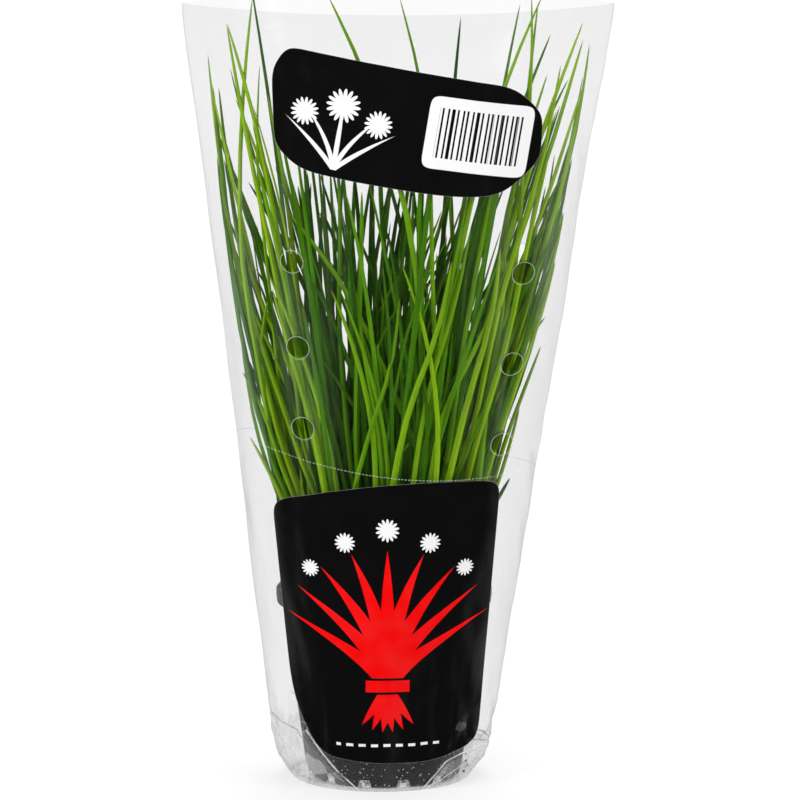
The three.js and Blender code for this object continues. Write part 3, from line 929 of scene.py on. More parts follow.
def near_pairs(leaves):
    """Pairs of stretches whose boxes meet, at least one of them on a leaf that may move."""
    lines = np.array([leaf["line"] for leaf in leaves])
    starts, ends = lines[:, :-1].reshape(-1, 3), lines[:, 1:].reshape(-1, 3)
    low, high = np.minimum(starts, ends) - BOX_ROOM, np.maximum(starts, ends) + BOX_ROOM
    per_leaf = len(KNOTS) - 1
    leaf = np.repeat(np.arange(len(leaves)), per_leaf)
    index = np.tile(np.arange(per_leaf), len(leaves))
    tuft = np.array([id(one["tuft"]) for one in leaves])[leaf]
    free = np.array([not one["firm"] for one in leaves])[leaf]
    pairs = []
    for i in range(len(leaf)):
        rest = slice(i + 1, None)
        meets = (low[i] <= high[rest]).all(1) & (low[rest] <= high[i]).all(1) & (leaf[rest] != leaf[i])
        crowded = (tuft[rest] == tuft[i]) & ((index[rest] == 0) | (index[i] == 0))
        for j in np.nonzero(meets & ~crowded & (free[rest] | free[i]))[0] + i + 1:
            pairs.append((leaf[i], index[i], leaf[j], index[j]))
    return pairs


def half_width_at(leaf, index, share):
    return leaf["width"] / 2 * (TAPER[index] + (TAPER[index + 1] - TAPER[index]) * share)


def hold_inside(leaves):
    for leaf in leaves:
        for point in leaf["line"][1:]:
            keep_inside(point, leaf["room"])


def bend_clear(leaves, rounds, clearance):
    """Pushes leaves apart until nothing touches or the rounds are over. Firm leaves stay."""
    loose_leaves = [leaf for leaf in leaves if not leaf["firm"]]
    hold_inside(loose_leaves)
    for turn_number in range(rounds):
        touching = 0
        for one, i, other, j in near_pairs(leaves):
            a, b = leaves[one], leaves[other]
            la, lb = a["line"], b["line"]
            s, t, way = find_nearest(la[i], la[i + 1], lb[j], lb[j + 1])
            wanted = half_width_at(a, i, s) + half_width_at(b, j, t) + clearance
            apart = math.hypot(*way)
            if apart >= wanted:
                continue
            touching += 1
            way = [w / apart for w in way] if apart > 1e-6 else [1.0, 0.0, 0.0]
            push = PUSH * (wanted - apart) + NUDGE
            if not a["firm"]:
                shove(la, i, s, way, push)
            if not b["firm"]:
                shove(lb, j, t, way, -push)
        if touching == 0:
            break
        for leaf in loose_leaves:
            ease_kinks(leaf["line"])
        hold_inside(loose_leaves)
    return turn_number, touching


rounds_taken, still_touching = bend_clear(leaves, 260, 0.3)
print("clear after", rounds_taken, "rounds, with", still_touching, "pairs still touching")

# %% [markdown]
# ## Young leaves and leaves against the film
#
# The solid model holds the full-grown leaves alone, because every solid blade costs it dearly. A real pot
# is fuller: each tuft also has thin young leaves, which arch and cross the others, and some long leaves
# have been pressed against the film as the sleeve went on. The young ones come from a second stream of
# chance. The pressed ones are given one by one, each as a few points on the front of the sleeve. All of them
# are pushed off the full-grown leaves, which stay, and off each other. That many don't fit without a touch,
# as in a real pot, so it ends after 36 rounds.

# %% Young leaves
YOUNG = 2
YOUNG_SLANT, YOUNG_SWAY = 1.1, 0.25
# Leaves pressed against the film get paler tones than the others, a painted light.
YOUNG_TONES, PRESSED_PAINTED_LIGHT_TONES = (0.2, 0.85), (0.5, 1.0)
THIN_FOOT = SOIL_LEVEL + CROWN_HEIGHT - 1.5


def grow_young(chance, tuft, order):
    angle = tuft["spin"] + 2 * math.pi * (order + 0.5) / YOUNG + chance.between(-0.3, 0.3)
    outwards = turn(angle)
    root = tuft["place"] + outwards * 0.7
    root[2] = THIN_FOOT
    tip = 95 + 180 * math.sqrt(chance.draw())
    arch = chance.between(0.05, 0.5)
    line = middle_line(chance, tuft, outwards, root, tip, YOUNG_SLANT, arch, YOUNG_SWAY)
    line[1] = tuft["place"] + outwards * (COLLAR_RADIUS + 0.5)
    line[1][2] = root[2] + COLLAR_RISE
    width, twist, room = chance.between(1.3, 2.3), chance.between(-1, 1), chance.between(0, 18)
    return leaf_of(tuft, line, width, angle, twist, YOUNG_TONES, room)


for leaf in leaves:
    leaf["firm"] = True
young_chance = Chance(4207)
young = [grow_young(young_chance, tuft, order) for tuft in tufts for order in range(YOUNG)]
print(len(young), "young leaves")

# %% Leaves pressed against the film
PRESSED = [
    # root (x, y), width, then (x, z) on the front film from low to high, in millimetres
    ((22, -22), 2.3, [(20, 152), (4, 186), (-13, 204), (-37, 229)]),
    ((-16, -24), 2.0, [(-15, 150), (-22, 171), (-32, 188), (-42, 204)]),
    ((2, -28), 1.7, [(1, 151), (-3, 166), (-8, 182), (-15, 199)]),
    ((28, -18), 2.4, [(36, 158), (44, 188), (51, 211), (64, 250)]),
    ((14, -12), 2.4, [(12, 197), (4, 262), (-4, 290), (-21, 313)]),
    ((16, -10), 1.8, [(18, 197), (17, 262), (13, 296), (6, 313)]),
    ((20, -8), 2.0, [(22, 197), (26, 254), (36, 282), (61, 312)]),
    ((32, -8), 2.0, [(47, 194), (53, 260), (58, 291), (56, 312)]),
    ((-26, 0), 2.0, [(-50, 193), (-61, 251), (-61, 266), (-50, 311)]),
    ((-20, -10), 2.2, [(-32, 195), (-46, 256), (-56, 285), (-60, 300)]),
    ((-28, -12), 1.9, [(-40, 135), (-43, 142), (-48, 155), (-52, 160), (-60, 160)]),
    ((-24, -16), 1.9, [(-32, 140), (-39, 156), (-46, 160), (-56, 162)]),
    ((28, -8), 1.9, [(47, 153), (57, 161), (63, 165), (69, 171)]),
    ((24, -16), 1.9, [(44, 150), (53, 170), (61, 188), (71, 205)]),
    ((24, 0), 2.2, [(40, 205), (46, 234), (60, 269), (77, 300)]),
    ((28, 6), 2.4, [(54, 215), (62, 244), (68, 263), (77, 293)]),
    ((30, 10), 2.0, [(56, 200), (65, 228), (73, 252), (79, 284)]),
    ((26, -6), 1.9, [(48, 210), (54, 240), (57, 270), (59, 309)]),
    ((22, -14), 2.2, [(36, 180), (45, 210), (56, 244), (69, 284)]),
    ((30, -4), 2.1, [(50, 190), (58, 213), (66, 239), (77, 273)]),
    ((-24, -6), 2.1, [(-40, 198), (-47, 233), (-54, 273), (-60, 300)]),
    ((-28, -4), 1.8, [(-44, 180), (-52, 209), (-61, 247), (-66, 287)]),
    ((-26, 8), 1.4, [(-46, 200), (-53, 236), (-53, 265), (-48, 285)]),
    ((-20, -4), 1.2, [(-32, 220), (-38, 244), (-44, 260), (-51, 269)]),
    ((-16, -27), 2.6, [(-21, 126), (-28, 157), (-38, 179), (-43, 198)]),
    ((2, -30), 2.5, [(3, 127), (7, 158), (16, 185), (26, 211)]),
    ((6, -30), 2.3, [(8, 127), (19, 158), (33, 184), (52, 209)]),
    ((-4, -30), 2.2, [(-4, 127), (-2, 158), (-12, 185), (-20, 200)]),
    ((18, -25), 2.6, [(22, 126), (27, 157), (30, 184), (39, 215)]),
    ((-12, -29), 1.9, [(-13, 123), (-3, 147), (3, 174), (6, 197)]),
    ((26, -20), 2.6, [(33, 125), (41, 156), (45, 187), (48, 214)]),
    ((10, -29), 2.0, [(14, 127), (19, 166), (19, 189), (10, 210)]),
    ((-26, -16), 1.8, [(-36, 124), (-43, 131), (-47, 134), (-55, 136)]),
]
PRESSED_CLEAR = 2.8


def nearest_tuft(x, y):
    return min(tufts, key=lambda tuft: math.dist(tuft["place"][:2], (x, y)))


def along_route(tuft, spots):
    """The knots of a leaf that comes out of a tuft and passes through these places."""
    route = np.array([tuft["place"] + (0, 0, THIN_FOOT), *spots])
    lengths = np.cumsum([0] + [math.dist(a, b) for a, b in zip(route, route[1:])])
    at = np.array(KNOTS) * lengths[-1]
    return np.stack([np.interp(at, lengths, side) for side in route.T], 1)


def press(root, width, spots):
    tuft = nearest_tuft(*root)
    line = along_route(tuft, [(x, PRESSED_CLEAR - film_depth(x, z), z) for x, z in spots])
    return leaf_of(tuft, line, width, -math.pi / 2 + 0.25 * (width - 2), 0.3, PRESSED_PAINTED_LIGHT_TONES)


pressed = [press(*one) for one in PRESSED]
print(len(pressed), "leaves pressed against the film")

# %% Leaves that lean across, just inside the front and the back film
LEANING = {-1: 32, 1: 9}
LEAN_FROM = 138.0
LEAN_ROOM = 6
FAN, CROSSING = 0.0075, 0.85


def lean_leaf(chance, side_of_plant):
    """A leaf that crosses the others at a slant, near the front (-1) or the back (1)."""
    x = chance.between(-36, 44)
    tip = 172 + 112 * chance.draw()
    slope = (x - 4) * FAN + CROSSING * chance.bell()
    curve = slope * chance.between(-0.1, 0.45)
    inside = chance.between(5, 14)
    tuft = nearest_tuft(0.68 * x, side_of_plant * chance.between(12, 30))
    spots = []
    for share in (0, 0.35, 0.7, 1):
        z = LEAN_FROM + (tip - LEAN_FROM) * share
        run = z - LEAN_FROM
        half_width, _, _, middle = sleeve_at(z)
        reach = half_width - LEAN_ROOM
        across = clamp(x + slope * run + curve * run * run / 100, middle - reach, middle + reach)
        spots.append((across, side_of_plant * max(2.0, film_depth(across, z) - inside), z))
    facing = side_of_plant * math.pi / 2 + chance.between(-0.4, 0.4)
    width, room = chance.between(1.4, 2.2), chance.between(0, 10)
    return leaf_of(tuft, along_route(tuft, spots), width, facing, 0.4, YOUNG_TONES, room)


lean_chance = Chance(515)
for side_of_plant, count in LEANING.items():
    pressed += [lean_leaf(lean_chance, side_of_plant) for _ in range(count)]
rounds_taken, still_touching = bend_clear(leaves + young + pressed, 36, 0.1)
print("after", rounds_taken, "rounds", still_touching, "pairs of young or pressed leaves still touch")

# %% [markdown]
# ## One blade, modelled once
#
# A leaf of garlic chives is narrow and flat, a little channelled in front and keeled behind, and it ends in
# a long point. Each one could be a curve with a bevel shape, but a curve twists where it likes. So one
# straight blade of unit size is modelled here, a four-sided strip pushed up row by row to its tip, and the
# next cell lays a copy of it along every leaf's own line.

# %% The straight blade
ROWS = [0, 0.035, 0.07, 0.12, 0.2, 0.29, 0.38, 0.47, 0.56, 0.65, 0.74, 0.83, 0.91, 0.96, 0.985, 1]
TINY = 1e-4

push_up_ring("straight_blade", 4, ROWS)
bpy.ops.mesh.merge(type="CENTER")
bpy.ops.mesh.select_all(action="DESELECT")
bpy.ops.mesh.select_non_manifold()
bpy.ops.mesh.edge_face_add()
close_seams()
bpy.ops.object.mode_set(mode="OBJECT")
blade, blade_faces = take_pattern()
print("a blade has", len(blade_faces), "faces")

# %% Laying a blade along a leaf's line
KEEL, KEEL_OF_WIDTH = 0.7, 2.2
CHANNEL = 0.16
FLATTENED, FLAT_FROM, TWISTING = 0.5, 0.35, 0.5
WIDTH_AT = [0, 0.1, 0.3, 0.6, 0.83, 0.91, 0.96, 0.985, 1]
WIDTH_SHARE = [0.45, 0.85, 1, 0.92, 0.74, 0.58, 0.42, 0.26, 0]
DEEP = 24.0


def face_the_film(leaf, share):
    """A blade faces out of its tuft at the foot, and is pressed flat between front and back higher up."""
    flat = math.copysign(math.pi / 2, math.sin(leaf["facing"]))
    off = (flat - leaf["facing"] + math.pi) % (2 * math.pi) - math.pi
    flattened = off * FLATTENED * np.clip(share / FLAT_FROM, 0, 1)
    return leaf["facing"] + flattened + leaf["twist"] * TWISTING * share


def through_knots(line, shares):
    """A smooth curve through the knots: its places and its directions at these shares."""
    knots, points = np.array(KNOTS), np.array(line)
    gaps = np.diff(knots)[:, None]
    slopes = np.diff(points, axis=0) / gaps
    tangents = np.empty_like(points)
    tangents[1:-1] = (slopes[:-1] * gaps[1:] + slopes[1:] * gaps[:-1]) / (gaps[:-1] + gaps[1:])
    tangents[0] = 1.5 * slopes[0] - 0.5 * tangents[1]
    tangents[-1] = 1.5 * slopes[-1] - 0.5 * tangents[-2]
    k = np.clip(np.searchsorted(knots, shares, "right") - 1, 0, len(gaps) - 1)
    h = gaps[k]
    u = (shares - knots[k])[:, None] / h
    a, b = points[k], points[k + 1]
    ta, tb = tangents[k] * h, tangents[k + 1] * h
    place = (1 + 2 * u) * (1 - u) ** 2 * a + u * (1 - u) ** 2 * ta
    place = place + u * u * (3 - 2 * u) * b + u * u * (u - 1) * tb
    ahead = 6 * u * (1 - u) * (b - a) + (1 - u) * (1 - 3 * u) * ta + u * (3 * u - 2) * tb
    return place, ahead


def unit(rows):
    return rows / np.linalg.norm(rows, axis=1, keepdims=True)


def depth_inside(places):
    """0 at the front or back film and 1 deep inside the bunch, for each place."""
    return np.array([clamp((film_depth(x, z) - abs(y)) / DEEP) for x, y, z in places])


def lay_blade(leaf, tone):
    across_share, outer_share, along_share = blade.T
    place, ahead = through_knots(leaf["line"], along_share)
    along = unit(ahead)
    facing = face_the_film(leaf, along_share)
    front = np.stack([np.cos(facing), np.sin(facing), np.zeros(len(facing))], 1)
    across = unit(np.cross(along, front))
    outer = np.cross(across, along)
    taper = np.interp(along_share, WIDTH_AT, WIDTH_SHARE)
    half = leaf["width"] / 2 * taper
    keel = KEEL * leaf["width"] / KEEL_OF_WIDTH
    thick = np.where(outer_share > 0.5, keel, CHANNEL) * taper * (abs(outer_share) > 0.5)
    places = place - across * (across_share * half)[:, None] + outer * thick[:, None]
    facts = {"along": along_share, "across": across_share, "tone": np.full(len(blade), tone)}
    return places, blade_faces, facts | {"deep": depth_inside(places)}


places, _, _ = lay_blade(leaves[0], 0.5)
print("the first leaf ends", round(float(places[:, 2].max()), 1), "mm up")

# %% [markdown]
# ## The crown of a tuft
#
# The leaves of a tuft come out of a short crown of pale sheaths, half buried in the mix. It could be left
# out, since it hardly shows, but from above one would see leaves that hover over the soil. It is turned
# once and copied.

# %% The crown, and the tufts put together
CROWN_SECTION = [(0, -8), (1.5, -7.5), (2.3, -3), (2.4, 0), (2.25, 3)]
CROWN_SECTION += [(2.0, 6), (1.5, 9), (0.7, 11.5), (0, 12)]
turn_profile("crown", CROWN_SECTION, 8)
crown, crown_faces = take_pattern()


def lay_crown(tuft):
    places = crown + tuft["place"] + (0, 0, SOIL_LEVEL)
    low = np.zeros(len(crown))
    return places, crown_faces, {"along": low, "across": low, "tone": low + 0.5, "deep": low + 0.5}


# Leaves out at the sides get a paler tone on top of their tone by chance, a painted light.
PAINTED_LIGHT_ASIDE, ASIDE_FROM, ASIDE_OVER = 0.3, 12, 28
PLANT_MIDDLE = 3
tone_chance = Chance(88)
for tuft in tufts:
    tuft["blades"] = []
for leaf in leaves + young + pressed:
    aside = clamp((abs(leaf["line"][3][0] - PLANT_MIDDLE) - ASIDE_FROM) / ASIDE_OVER)
    tone = tone_chance.between(*leaf["tones"]) + PAINTED_LIGHT_ASIDE * aside
    leaf["tuft"]["blades"].append(lay_blade(leaf, tone))
tuft_pieces = []
for number, tuft in enumerate(tufts, 1):
    piece = merge_copies(f"leaves_{number:02d}", [lay_crown(tuft)] + tuft["blades"])
    smooth(piece, 50)
    tuft_pieces.append(piece)
print(len(tuft_pieces), "tufts with", sum(faces_in(piece) for piece in tuft_pieces), "faces")

# %% [markdown]
# ## The green of the leaves
#
# No two leaves are one green: the old ones are deep, the young ones yellowish, and each is pale where it
# leaves its sheath. A single colour would turn the tuft into plastic. Each leaf carries its own tone, how
# far along it a point lies, how far across, and how deep inside the bunch. The tone is partly chance and
# partly painted light: leaves out at the sides and leaves pressed against the film get paler tones. The
# material mixes these: the tone picks the green, the leaves deep inside the bunch are painted darker, a
# painted shade, fine stripes along the leaf are its veins, and the very tip has dried a little. Under each
# vent hole the leaves near the film are painted dark, a painted shade. The gloss is that of a waxy skin.

# %% Leaf green
# How dark the leaves near the film are painted under the vent holes, a painted shade.
PAINTED_SHADE_AT_HOLES = 0.8
WAXY = 0.12

finish, tree = new_finish("leaf_green")
spot, (x, y, z) = place_on(tree)
along, across, tone, deep = (attribute(tree, name) for name in ("along", "across", "tone", "deep"))
cloudy = mottle(stretched(spot, (1, 1, 0.25)), 130.0, 3.0)
veins = across.wave(15.0)
# Near each vent hole the leaves close to the film are painted dark, a painted shade.
shaded_under_holes = sum(1 - far.ramp(-0.6, 0.9) for far in hole_distances(x, z))
green = dye(
    colour(20, 62, 1),
    (tone.ramp(0.0, 0.6), colour(72, 132, 3)),
    (tone.ramp(0.55, 1.0), colour(140, 184, 14)),
    (cloudy.ramp(0.3, 0.75) * 0.3, colour(22, 62, 1)),
    # Leaves deep inside the bunch are painted darker, a painted shade.
    (deep.ramp(0.1, 0.9) * 0.6, colour(12, 38, 0)),
    (veins.ramp(-1.0, 1.0) * 0.12, colour(108, 168, 16)),
    (along.ramp(0.0, 0.16, 0.75, 0.0), colour(168, 186, 96)),
    (along.ramp(0.965, 1.0, 0.0, 0.6), colour(150, 140, 62)),
    (shaded_under_holes * (1 - deep.ramp(0.15, 0.55)) * PAINTED_SHADE_AT_HOLES, colour(12, 34, 1)),
)
gloss = cloudy.ramp(0.3, 0.7, 0.34, 0.48)
normal = relief(veins + cloudy, 0.08, 0.6)
finish_with(tree, skin(tree, Base_Color=green, Roughness=gloss, Normal=normal, Specular_IOR_Level=WAXY))
for number, piece in enumerate(tuft_pieces, 1):
    wear(piece, finish)
    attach(piece, "root")
    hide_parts(f"tuft_{number:02d}")
print("finished the leaves")

# %% [markdown]
# ## The film sleeve
#
# The sleeve is one bag of film a tenth of a millimetre thick, sealed along both sides, open above and
# tucked under the pot. Cloth simulation could crumple it, but film keeps hard creases that cloth rounds
# off. So a ring is pushed up row by row into a tube, each row takes the outline's width and depth, and
# noise moves the film in and out: long soft folds where it hangs free, and sharp ridged creases low down,
# where it was folded round the foot. Anything that would cut into the pot is pushed back out, and Solidify
# then gives the film its wall.

# %% The tube and its floor
FILM_SIDES = 200
CREASED_TO = 42.0
ROW_LOW, ROW_HIGH = 1.4, 3.1
FLOOR_RINGS, FLOOR_RING = 5, 0.17
low_rows = np.linspace(0, CREASED_TO, round(CREASED_TO / ROW_LOW) + 1)
high_rows = np.linspace(CREASED_TO, SLEEVE_TOP, round((SLEEVE_TOP - CREASED_TO) / ROW_HIGH) + 1)
film_rows = [*low_rows, *high_rows[1:]]

film = push_up_ring("sleeve_film", FILM_SIDES, film_rows)
pick(film, "edges", lambda edge: all(v.co.z < TINY for v in edge.verts))
bpy.ops.mesh.edge_face_add()
for _ in range(FLOOR_RINGS):
    bpy.ops.mesh.inset(thickness=FLOOR_RING)
bpy.ops.mesh.poke()
close_seams()
bpy.ops.object.mode_set(mode="OBJECT")
print("the tube has", faces_in(film), "faces in", len(film_rows), "rows")

# %% The folds of the two corners
CORNER_FOLDS = {
    # (x, z) on the front of the sleeve from high to low, in millimetres
    "inner_left": [(-46, 40), (-36, 28), (-31, 23.5), (-24, 14.5), (-17.5, 7.5), (-8, -1)],
    "inner_right": [(46, 15), (38.5, 14.5), (32, 13.5), (24, 11), (20, 6), (13, -2)],
    "outer_left": [(-54, 34), (-45, 24.5), (-41, 18.5), (-35, 13.5), (-32.5, 8), (-31, -1)],
    "outer_right": [(46, 14), (38.5, 11.5), (32.5, 9), (25, 5), (14, -1)],
}


def off_line(x, z, line):
    """How far points are from a broken line: positive on its left and negative on its right."""
    nearest, signed = np.full(len(x), np.inf), np.zeros(len(x))
    for (x0, z0), (x1, z1) in zip(line, line[1:]):
        run, rise = x1 - x0, z1 - z0
        share = np.clip(((x - x0) * run + (z - z0) * rise) / (run * run + rise * rise), 0, 1)
        far = np.hypot(x - x0 - share * run, z - z0 - share * rise)
        closer = far < nearest
        nearest[closer] = far[closer]
        signed[closer] = (far * np.sign((z - z0) * run - (x - x0) * rise))[closer]
    return signed


def fold_distance(x, z, which):
    """How far points are from the inner or outer folds, positive towards the middle of the bag."""
    left, right = (off_line(x, z, CORNER_FOLDS[f"{which}_{hand}"]) for hand in ("left", "right"))
    return np.where(x < 2, left, -right)


print("folds at the middle are", fold_distance(np.array([0.0]), np.array([10.0]), "inner"), "mm away")

# %% Its outline, folds and creases
EASE = 4.0
FOLD, RIPPLE, CREASE = 1.3, 0.4, 2.6
HELD_SHARE, HELD_TO, FREE_OVER = 0.35, 80, 60
CREASES_FADE, CREASES_OUT = 26, 0.42
RIDGE, RIDGE_WIDTH, RIDGES_TO, RIDGES_ASIDE, RIDGES_FADE = 0.9, 1.3, 32, 40, 6
GRIPPED_TO = 4
OFF_THE_POT = 0.5
FILM_WALL = 0.12


def eased_outline(z):
    """The outline at a height, with the corners between the stations rounded off."""
    near = [sleeve_at(clamp(z + step, 0, SLEEVE_TOP)) for step in (-EASE, 0, EASE)]
    return [sum(values) / 3 for values in zip(*near)]


def outline_point(angle, z):
    half_width, half_depth, edge, middle = eased_outline(z)
    y = math.copysign(abs(math.sin(angle)) ** (2 * edge), math.sin(angle))
    return np.array([middle + half_width * math.cos(angle), half_depth * y])


def wrinkle(x, y, z, wide, high, shifted=0):
    """Noise from -1 to 1, in lumps of this width and height."""
    return noise.noise(Vector((x / wide, y / wide, z / high + shifted)))


def folds(x, y, z):
    """How far the film stands out at a point, in millimetres."""
    free = HELD_SHARE + (1 - HELD_SHARE) * clamp((z - HELD_TO) / FREE_OVER)
    out = wrinkle(x, y, z, 17, 120) * FOLD * free + wrinkle(x + 0.4 * z, y, z, 8, 34) * RIPPLE
    if z >= 2 * CREASED_TO:
        return out
    ridge, finer = abs(wrinkle(x, y, z, 11, 9)), abs(wrinkle(x, y, z, 5, 6, 7))
    return out + CREASE * (CREASES_OUT - ridge - 0.5 * finer) * math.exp(-((z / CREASES_FADE) ** 2))


places = points_of(film)
shaped = np.empty_like(places)
x_about, z_about = places[:, 0] * sleeve_at(10)[0], places[:, 2]
from_folds = [fold_distance(x_about, z_about, fold) / RIDGE_WIDTH for fold in ("inner", "outer")]
ridges = RIDGE * sum(np.exp(-(far**2)) for far in from_folds)
ridges *= np.clip((RIDGES_TO - z_about) / RIDGES_FADE, 0, 1)
ridges *= np.clip((RIDGES_ASIDE - abs(x_about)) / RIDGES_FADE, 0, 1)
for row, (x, y, z) in enumerate(places):
    angle, reach = math.atan2(y, x), math.hypot(x, y)
    spot = outline_point(angle, z)
    if reach < 1 - TINY:
        shaped[row] = (*(spot * reach), 0.0)
        continue
    ahead, behind = outline_point(angle + 0.01, z), outline_point(angle - 0.01, z)
    run = ahead - behind
    out = np.array([run[1], -run[0]]) / np.linalg.norm(run)
    spot = spot + out * (folds(*spot, z) + ridges[row]) * min(1.0, z / GRIPPED_TO)
    pot_here = pot_radius(z) if z < STANDS_AT + under_collar - 1.5 else RIM_RADIUS
    if z < STANDS_AT + POT_HEIGHT + 2:
        spot *= max(1.0, (pot_here + OFF_THE_POT) / np.linalg.norm(spot))
    shaped[row] = (*spot, z)
move_points(film, shaped * MM)
apply_modifier(film, "SOLIDIFY", thickness=FILM_WALL * MM, offset=-1)
print("the film is", [round(v, 4) for v in film.dimensions])

# %% [markdown]
# ## Punched holes
#
# Round holes let the plant breathe. They are punched through the flat bag, so each one goes through the
# front and the back. Painted holes would show the leaves no clearer than the film does, so these are real:
# eight bars, one for each pair of holes, pass through the sleeve, and a Boolean takes them away.

# %% Punching the sleeve
THROUGH_ALL = 200

cut_away(film, [bar("bar", 48, radius, THROUGH_ALL, (x, 0, z), math.pi / 2) for x, z, radius in holes])
smooth(film, 55)
film_places = points_of(film) / MM
for fold in ("inner", "outer"):
    tell(film.data, f"{fold}_fold", fold_distance(film_places[:, 0], film_places[:, 2], fold))
print("the punched film has", faces_in(film), "faces and", len(holes), "pairs of holes")

# %% [markdown]
# ## What is caught low down
#
# Under the pot the surplus film is tucked away, and it shows as pale crumples in the gaps of the foot. Each
# tuck could be cut out of the sleeve, but it is simpler as a small sheet that spans its gap: a grid with a
# thin wall, laid in each gap and crumpled by two waves. A few crumbs of the mix have fallen past the rim
# and cling in the sleeve's corner.

# %% Tucks in the gaps of the foot
TUCK_RADIUS, TUCK_SPAN, TUCK_RISE = FOOT_RADIUS - 1.1, 5.6, 3.1
TUCK_NARROWS = 0.2
TUCK_BULGE, TUCK_RIPPLE = 0.5, 0.35

let_go()
bpy.ops.mesh.primitive_grid_add(x_subdivisions=7, y_subdivisions=4, size=1)
tuck = name_new("tuck")
tuck.scale = (TUCK_SPAN * MM, TUCK_RISE * MM, 1)
settle(tuck)
apply_modifier(tuck, "SOLIDIFY", thickness=FILM_WALL * MM, offset=-1)
tuck_places, tuck_faces = take_pattern()
along_gap, up_gap, through_gap = (tuck_places / MM).T
tucks = []
for i in range(GAPS):
    angle = 2 * math.pi * (i + 0.5) / GAPS
    c, s = math.cos(angle), math.sin(angle)
    first, second = shuffle.uniform(0, 2 * math.pi, 2)
    bulge = TUCK_BULGE * np.sin(1.5 * along_gap + up_gap + first)
    ripple = TUCK_RIPPLE * np.sin(2.9 * up_gap - 2.2 * along_gap + second)
    reach = TUCK_RADIUS + bulge + ripple + through_gap
    aside = along_gap * (1 - TUCK_NARROWS * (up_gap / TUCK_RISE + 0.5))
    rise = STANDS_AT + 0.1 + TUCK_RISE / 2 + up_gap
    turned = np.stack([reach * c - aside * s, reach * s + aside * c, rise], 1)
    tucks.append((turned, tuck_faces, {"tone": np.full(len(rise), shuffle.uniform(0, 1))}))
tucks = merge_copies("film_tucks", tucks)
print("the tucks have", faces_in(tucks), "faces")

# %% Crumbs caught in the corner
CAUGHT, CLINGS = 18, 0.8
front_film = film_places[film_places[:, 1] < 0]


def inner_face(x, z):
    """The y of the front film's inner face, at a place on it."""
    near = np.argsort(np.hypot(front_film[:, 0] - x, front_film[:, 2] - z))[:6]
    return front_film[near, 1].max()


caught = []
for _ in range(CAUGHT):
    x, z, size = shuffle.uniform(22, 33), shuffle.uniform(3, 14), shuffle.uniform(0.3, 0.8)
    crumb = knobbly(0.6, 1.2, size) + (x, inner_face(x, z) + CLINGS * size, z)
    caught.append((crumb, ball_faces, {"tone": np.full(len(ball), shuffle.uniform(0, 0.4))}))
caught = merge_copies("caught_crumbs", caught)
print("the caught crumbs have", faces_in(caught), "faces")

# %% [markdown]
# ## Ink as arithmetic
#
# The bag is printed: a black panel low down on both sides, with a sheaf of red blades and white flower
# heads, and a slanting black label near the top, with white flowers and a white patch of plain stripes. An
# image would be the usual way. Here the ink is drawn with distances instead, so it stays sharp at any size:
# how far a point lies beyond a straight edge, or inside a stroke or a flower head. The greatest of such
# numbers joins shapes, and the least of them keeps what the shapes share.

# %% Distances to draw with
def beyond(x, z, start, end):
    """How far a point is to the left of the line from start to end."""
    run, rise = end[0] - start[0], end[1] - start[1]
    length = math.hypot(run, rise)
    offset = (rise * start[0] - run * start[1]) / length
    return x * (-rise / length) + z * (run / length) + offset


def joined(operation, whole, *others, extra=()):
    """One number from several, two by two through a Math node."""
    for other in others:
        whole = whole.math(operation, other, *extra)
    return whole


def any_of(*marks):
    return joined("MAXIMUM", *marks)


def all_of(*marks):
    return joined("MINIMUM", *marks)


def rounded(softness, *distances):
    """The greatest of the distances, with the corners rounded."""
    return joined("SMOOTH_MAX", *distances, extra=[softness])


def stroke(x, z, foot, height, lean, curl, width):
    """A tapered stroke that rises from its foot and leans over. Positive inside."""
    share = (z - foot) / height
    half = (1 - share) * (share + 0.4) * width
    return all_of(half - abs(x - share * (share * curl + lean)), z - foot)


def flower(x, z, centre, radius, rays):
    """A round flower head of rays. Positive inside."""
    across, up = x - centre[0], z - centre[1]
    far = (across * across + up * up) ** 0.5
    ray = abs((across.math("ARCTAN2", up) * (rays / 2)).math("COSINE"))
    return (ray * 0.45 + 0.55) * radius - far


def inked(distance, edge=0.12):
    """1 inside a shape and 0 outside, with an edge about as soft as print."""
    return distance.ramp(-edge, edge)


print("a point 5 above a level line lies", beyond(0, 5, (0, 0), (10, 0)), "beyond it")

# %% The panel's design
PANEL_EDGE = [(-1.5, 10.5), (-24.2, 13.8), (-35.7, 33.8), (-42.7, 106)]
PANEL_RIGHT = [(44.4, 110), (37.0, 18.5)], [(36.2, 16.7), (20.8, 11.1)], [(20.8, 11.1), (-1.5, 10.5)]
PANEL_TOP, PANEL_SAG, PANEL_PEAK, PANEL_CORNERS = 125.4, 0.0033, 15.0, 9.0
SHEAF_X, SHEAF_Z = 1.5, 44.0
BLADES = [(55, 0, 0, 6.0), (53, 1, 13, 6.2), (47, 4, 22, 6.8), (38, 8, 27, 7.6), (27, 13, 26, 8.6)]
STEMS = [(19, 0, 2, 4.6), (18, 4, 2, 4.6), (16, 8, 2, 4.6)]
TIE_HIGH, TIE_WIDE, TIE_GAP = 2.4, 8.5, 3.4
PANEL_FLOWERS = [((0, 107), 4.6, 14), ((16.5, 101.5), 4.0, 14), ((30.0, 90.0), 3.4, 14)]
DASHES_AT, DASH_HIGH, DASHES_TO = 19.5, 0.55, 20
BLACK, RED, WHITE = colour(11, 10, 11), colour(222, 0, 1), colour(222, 222, 222)


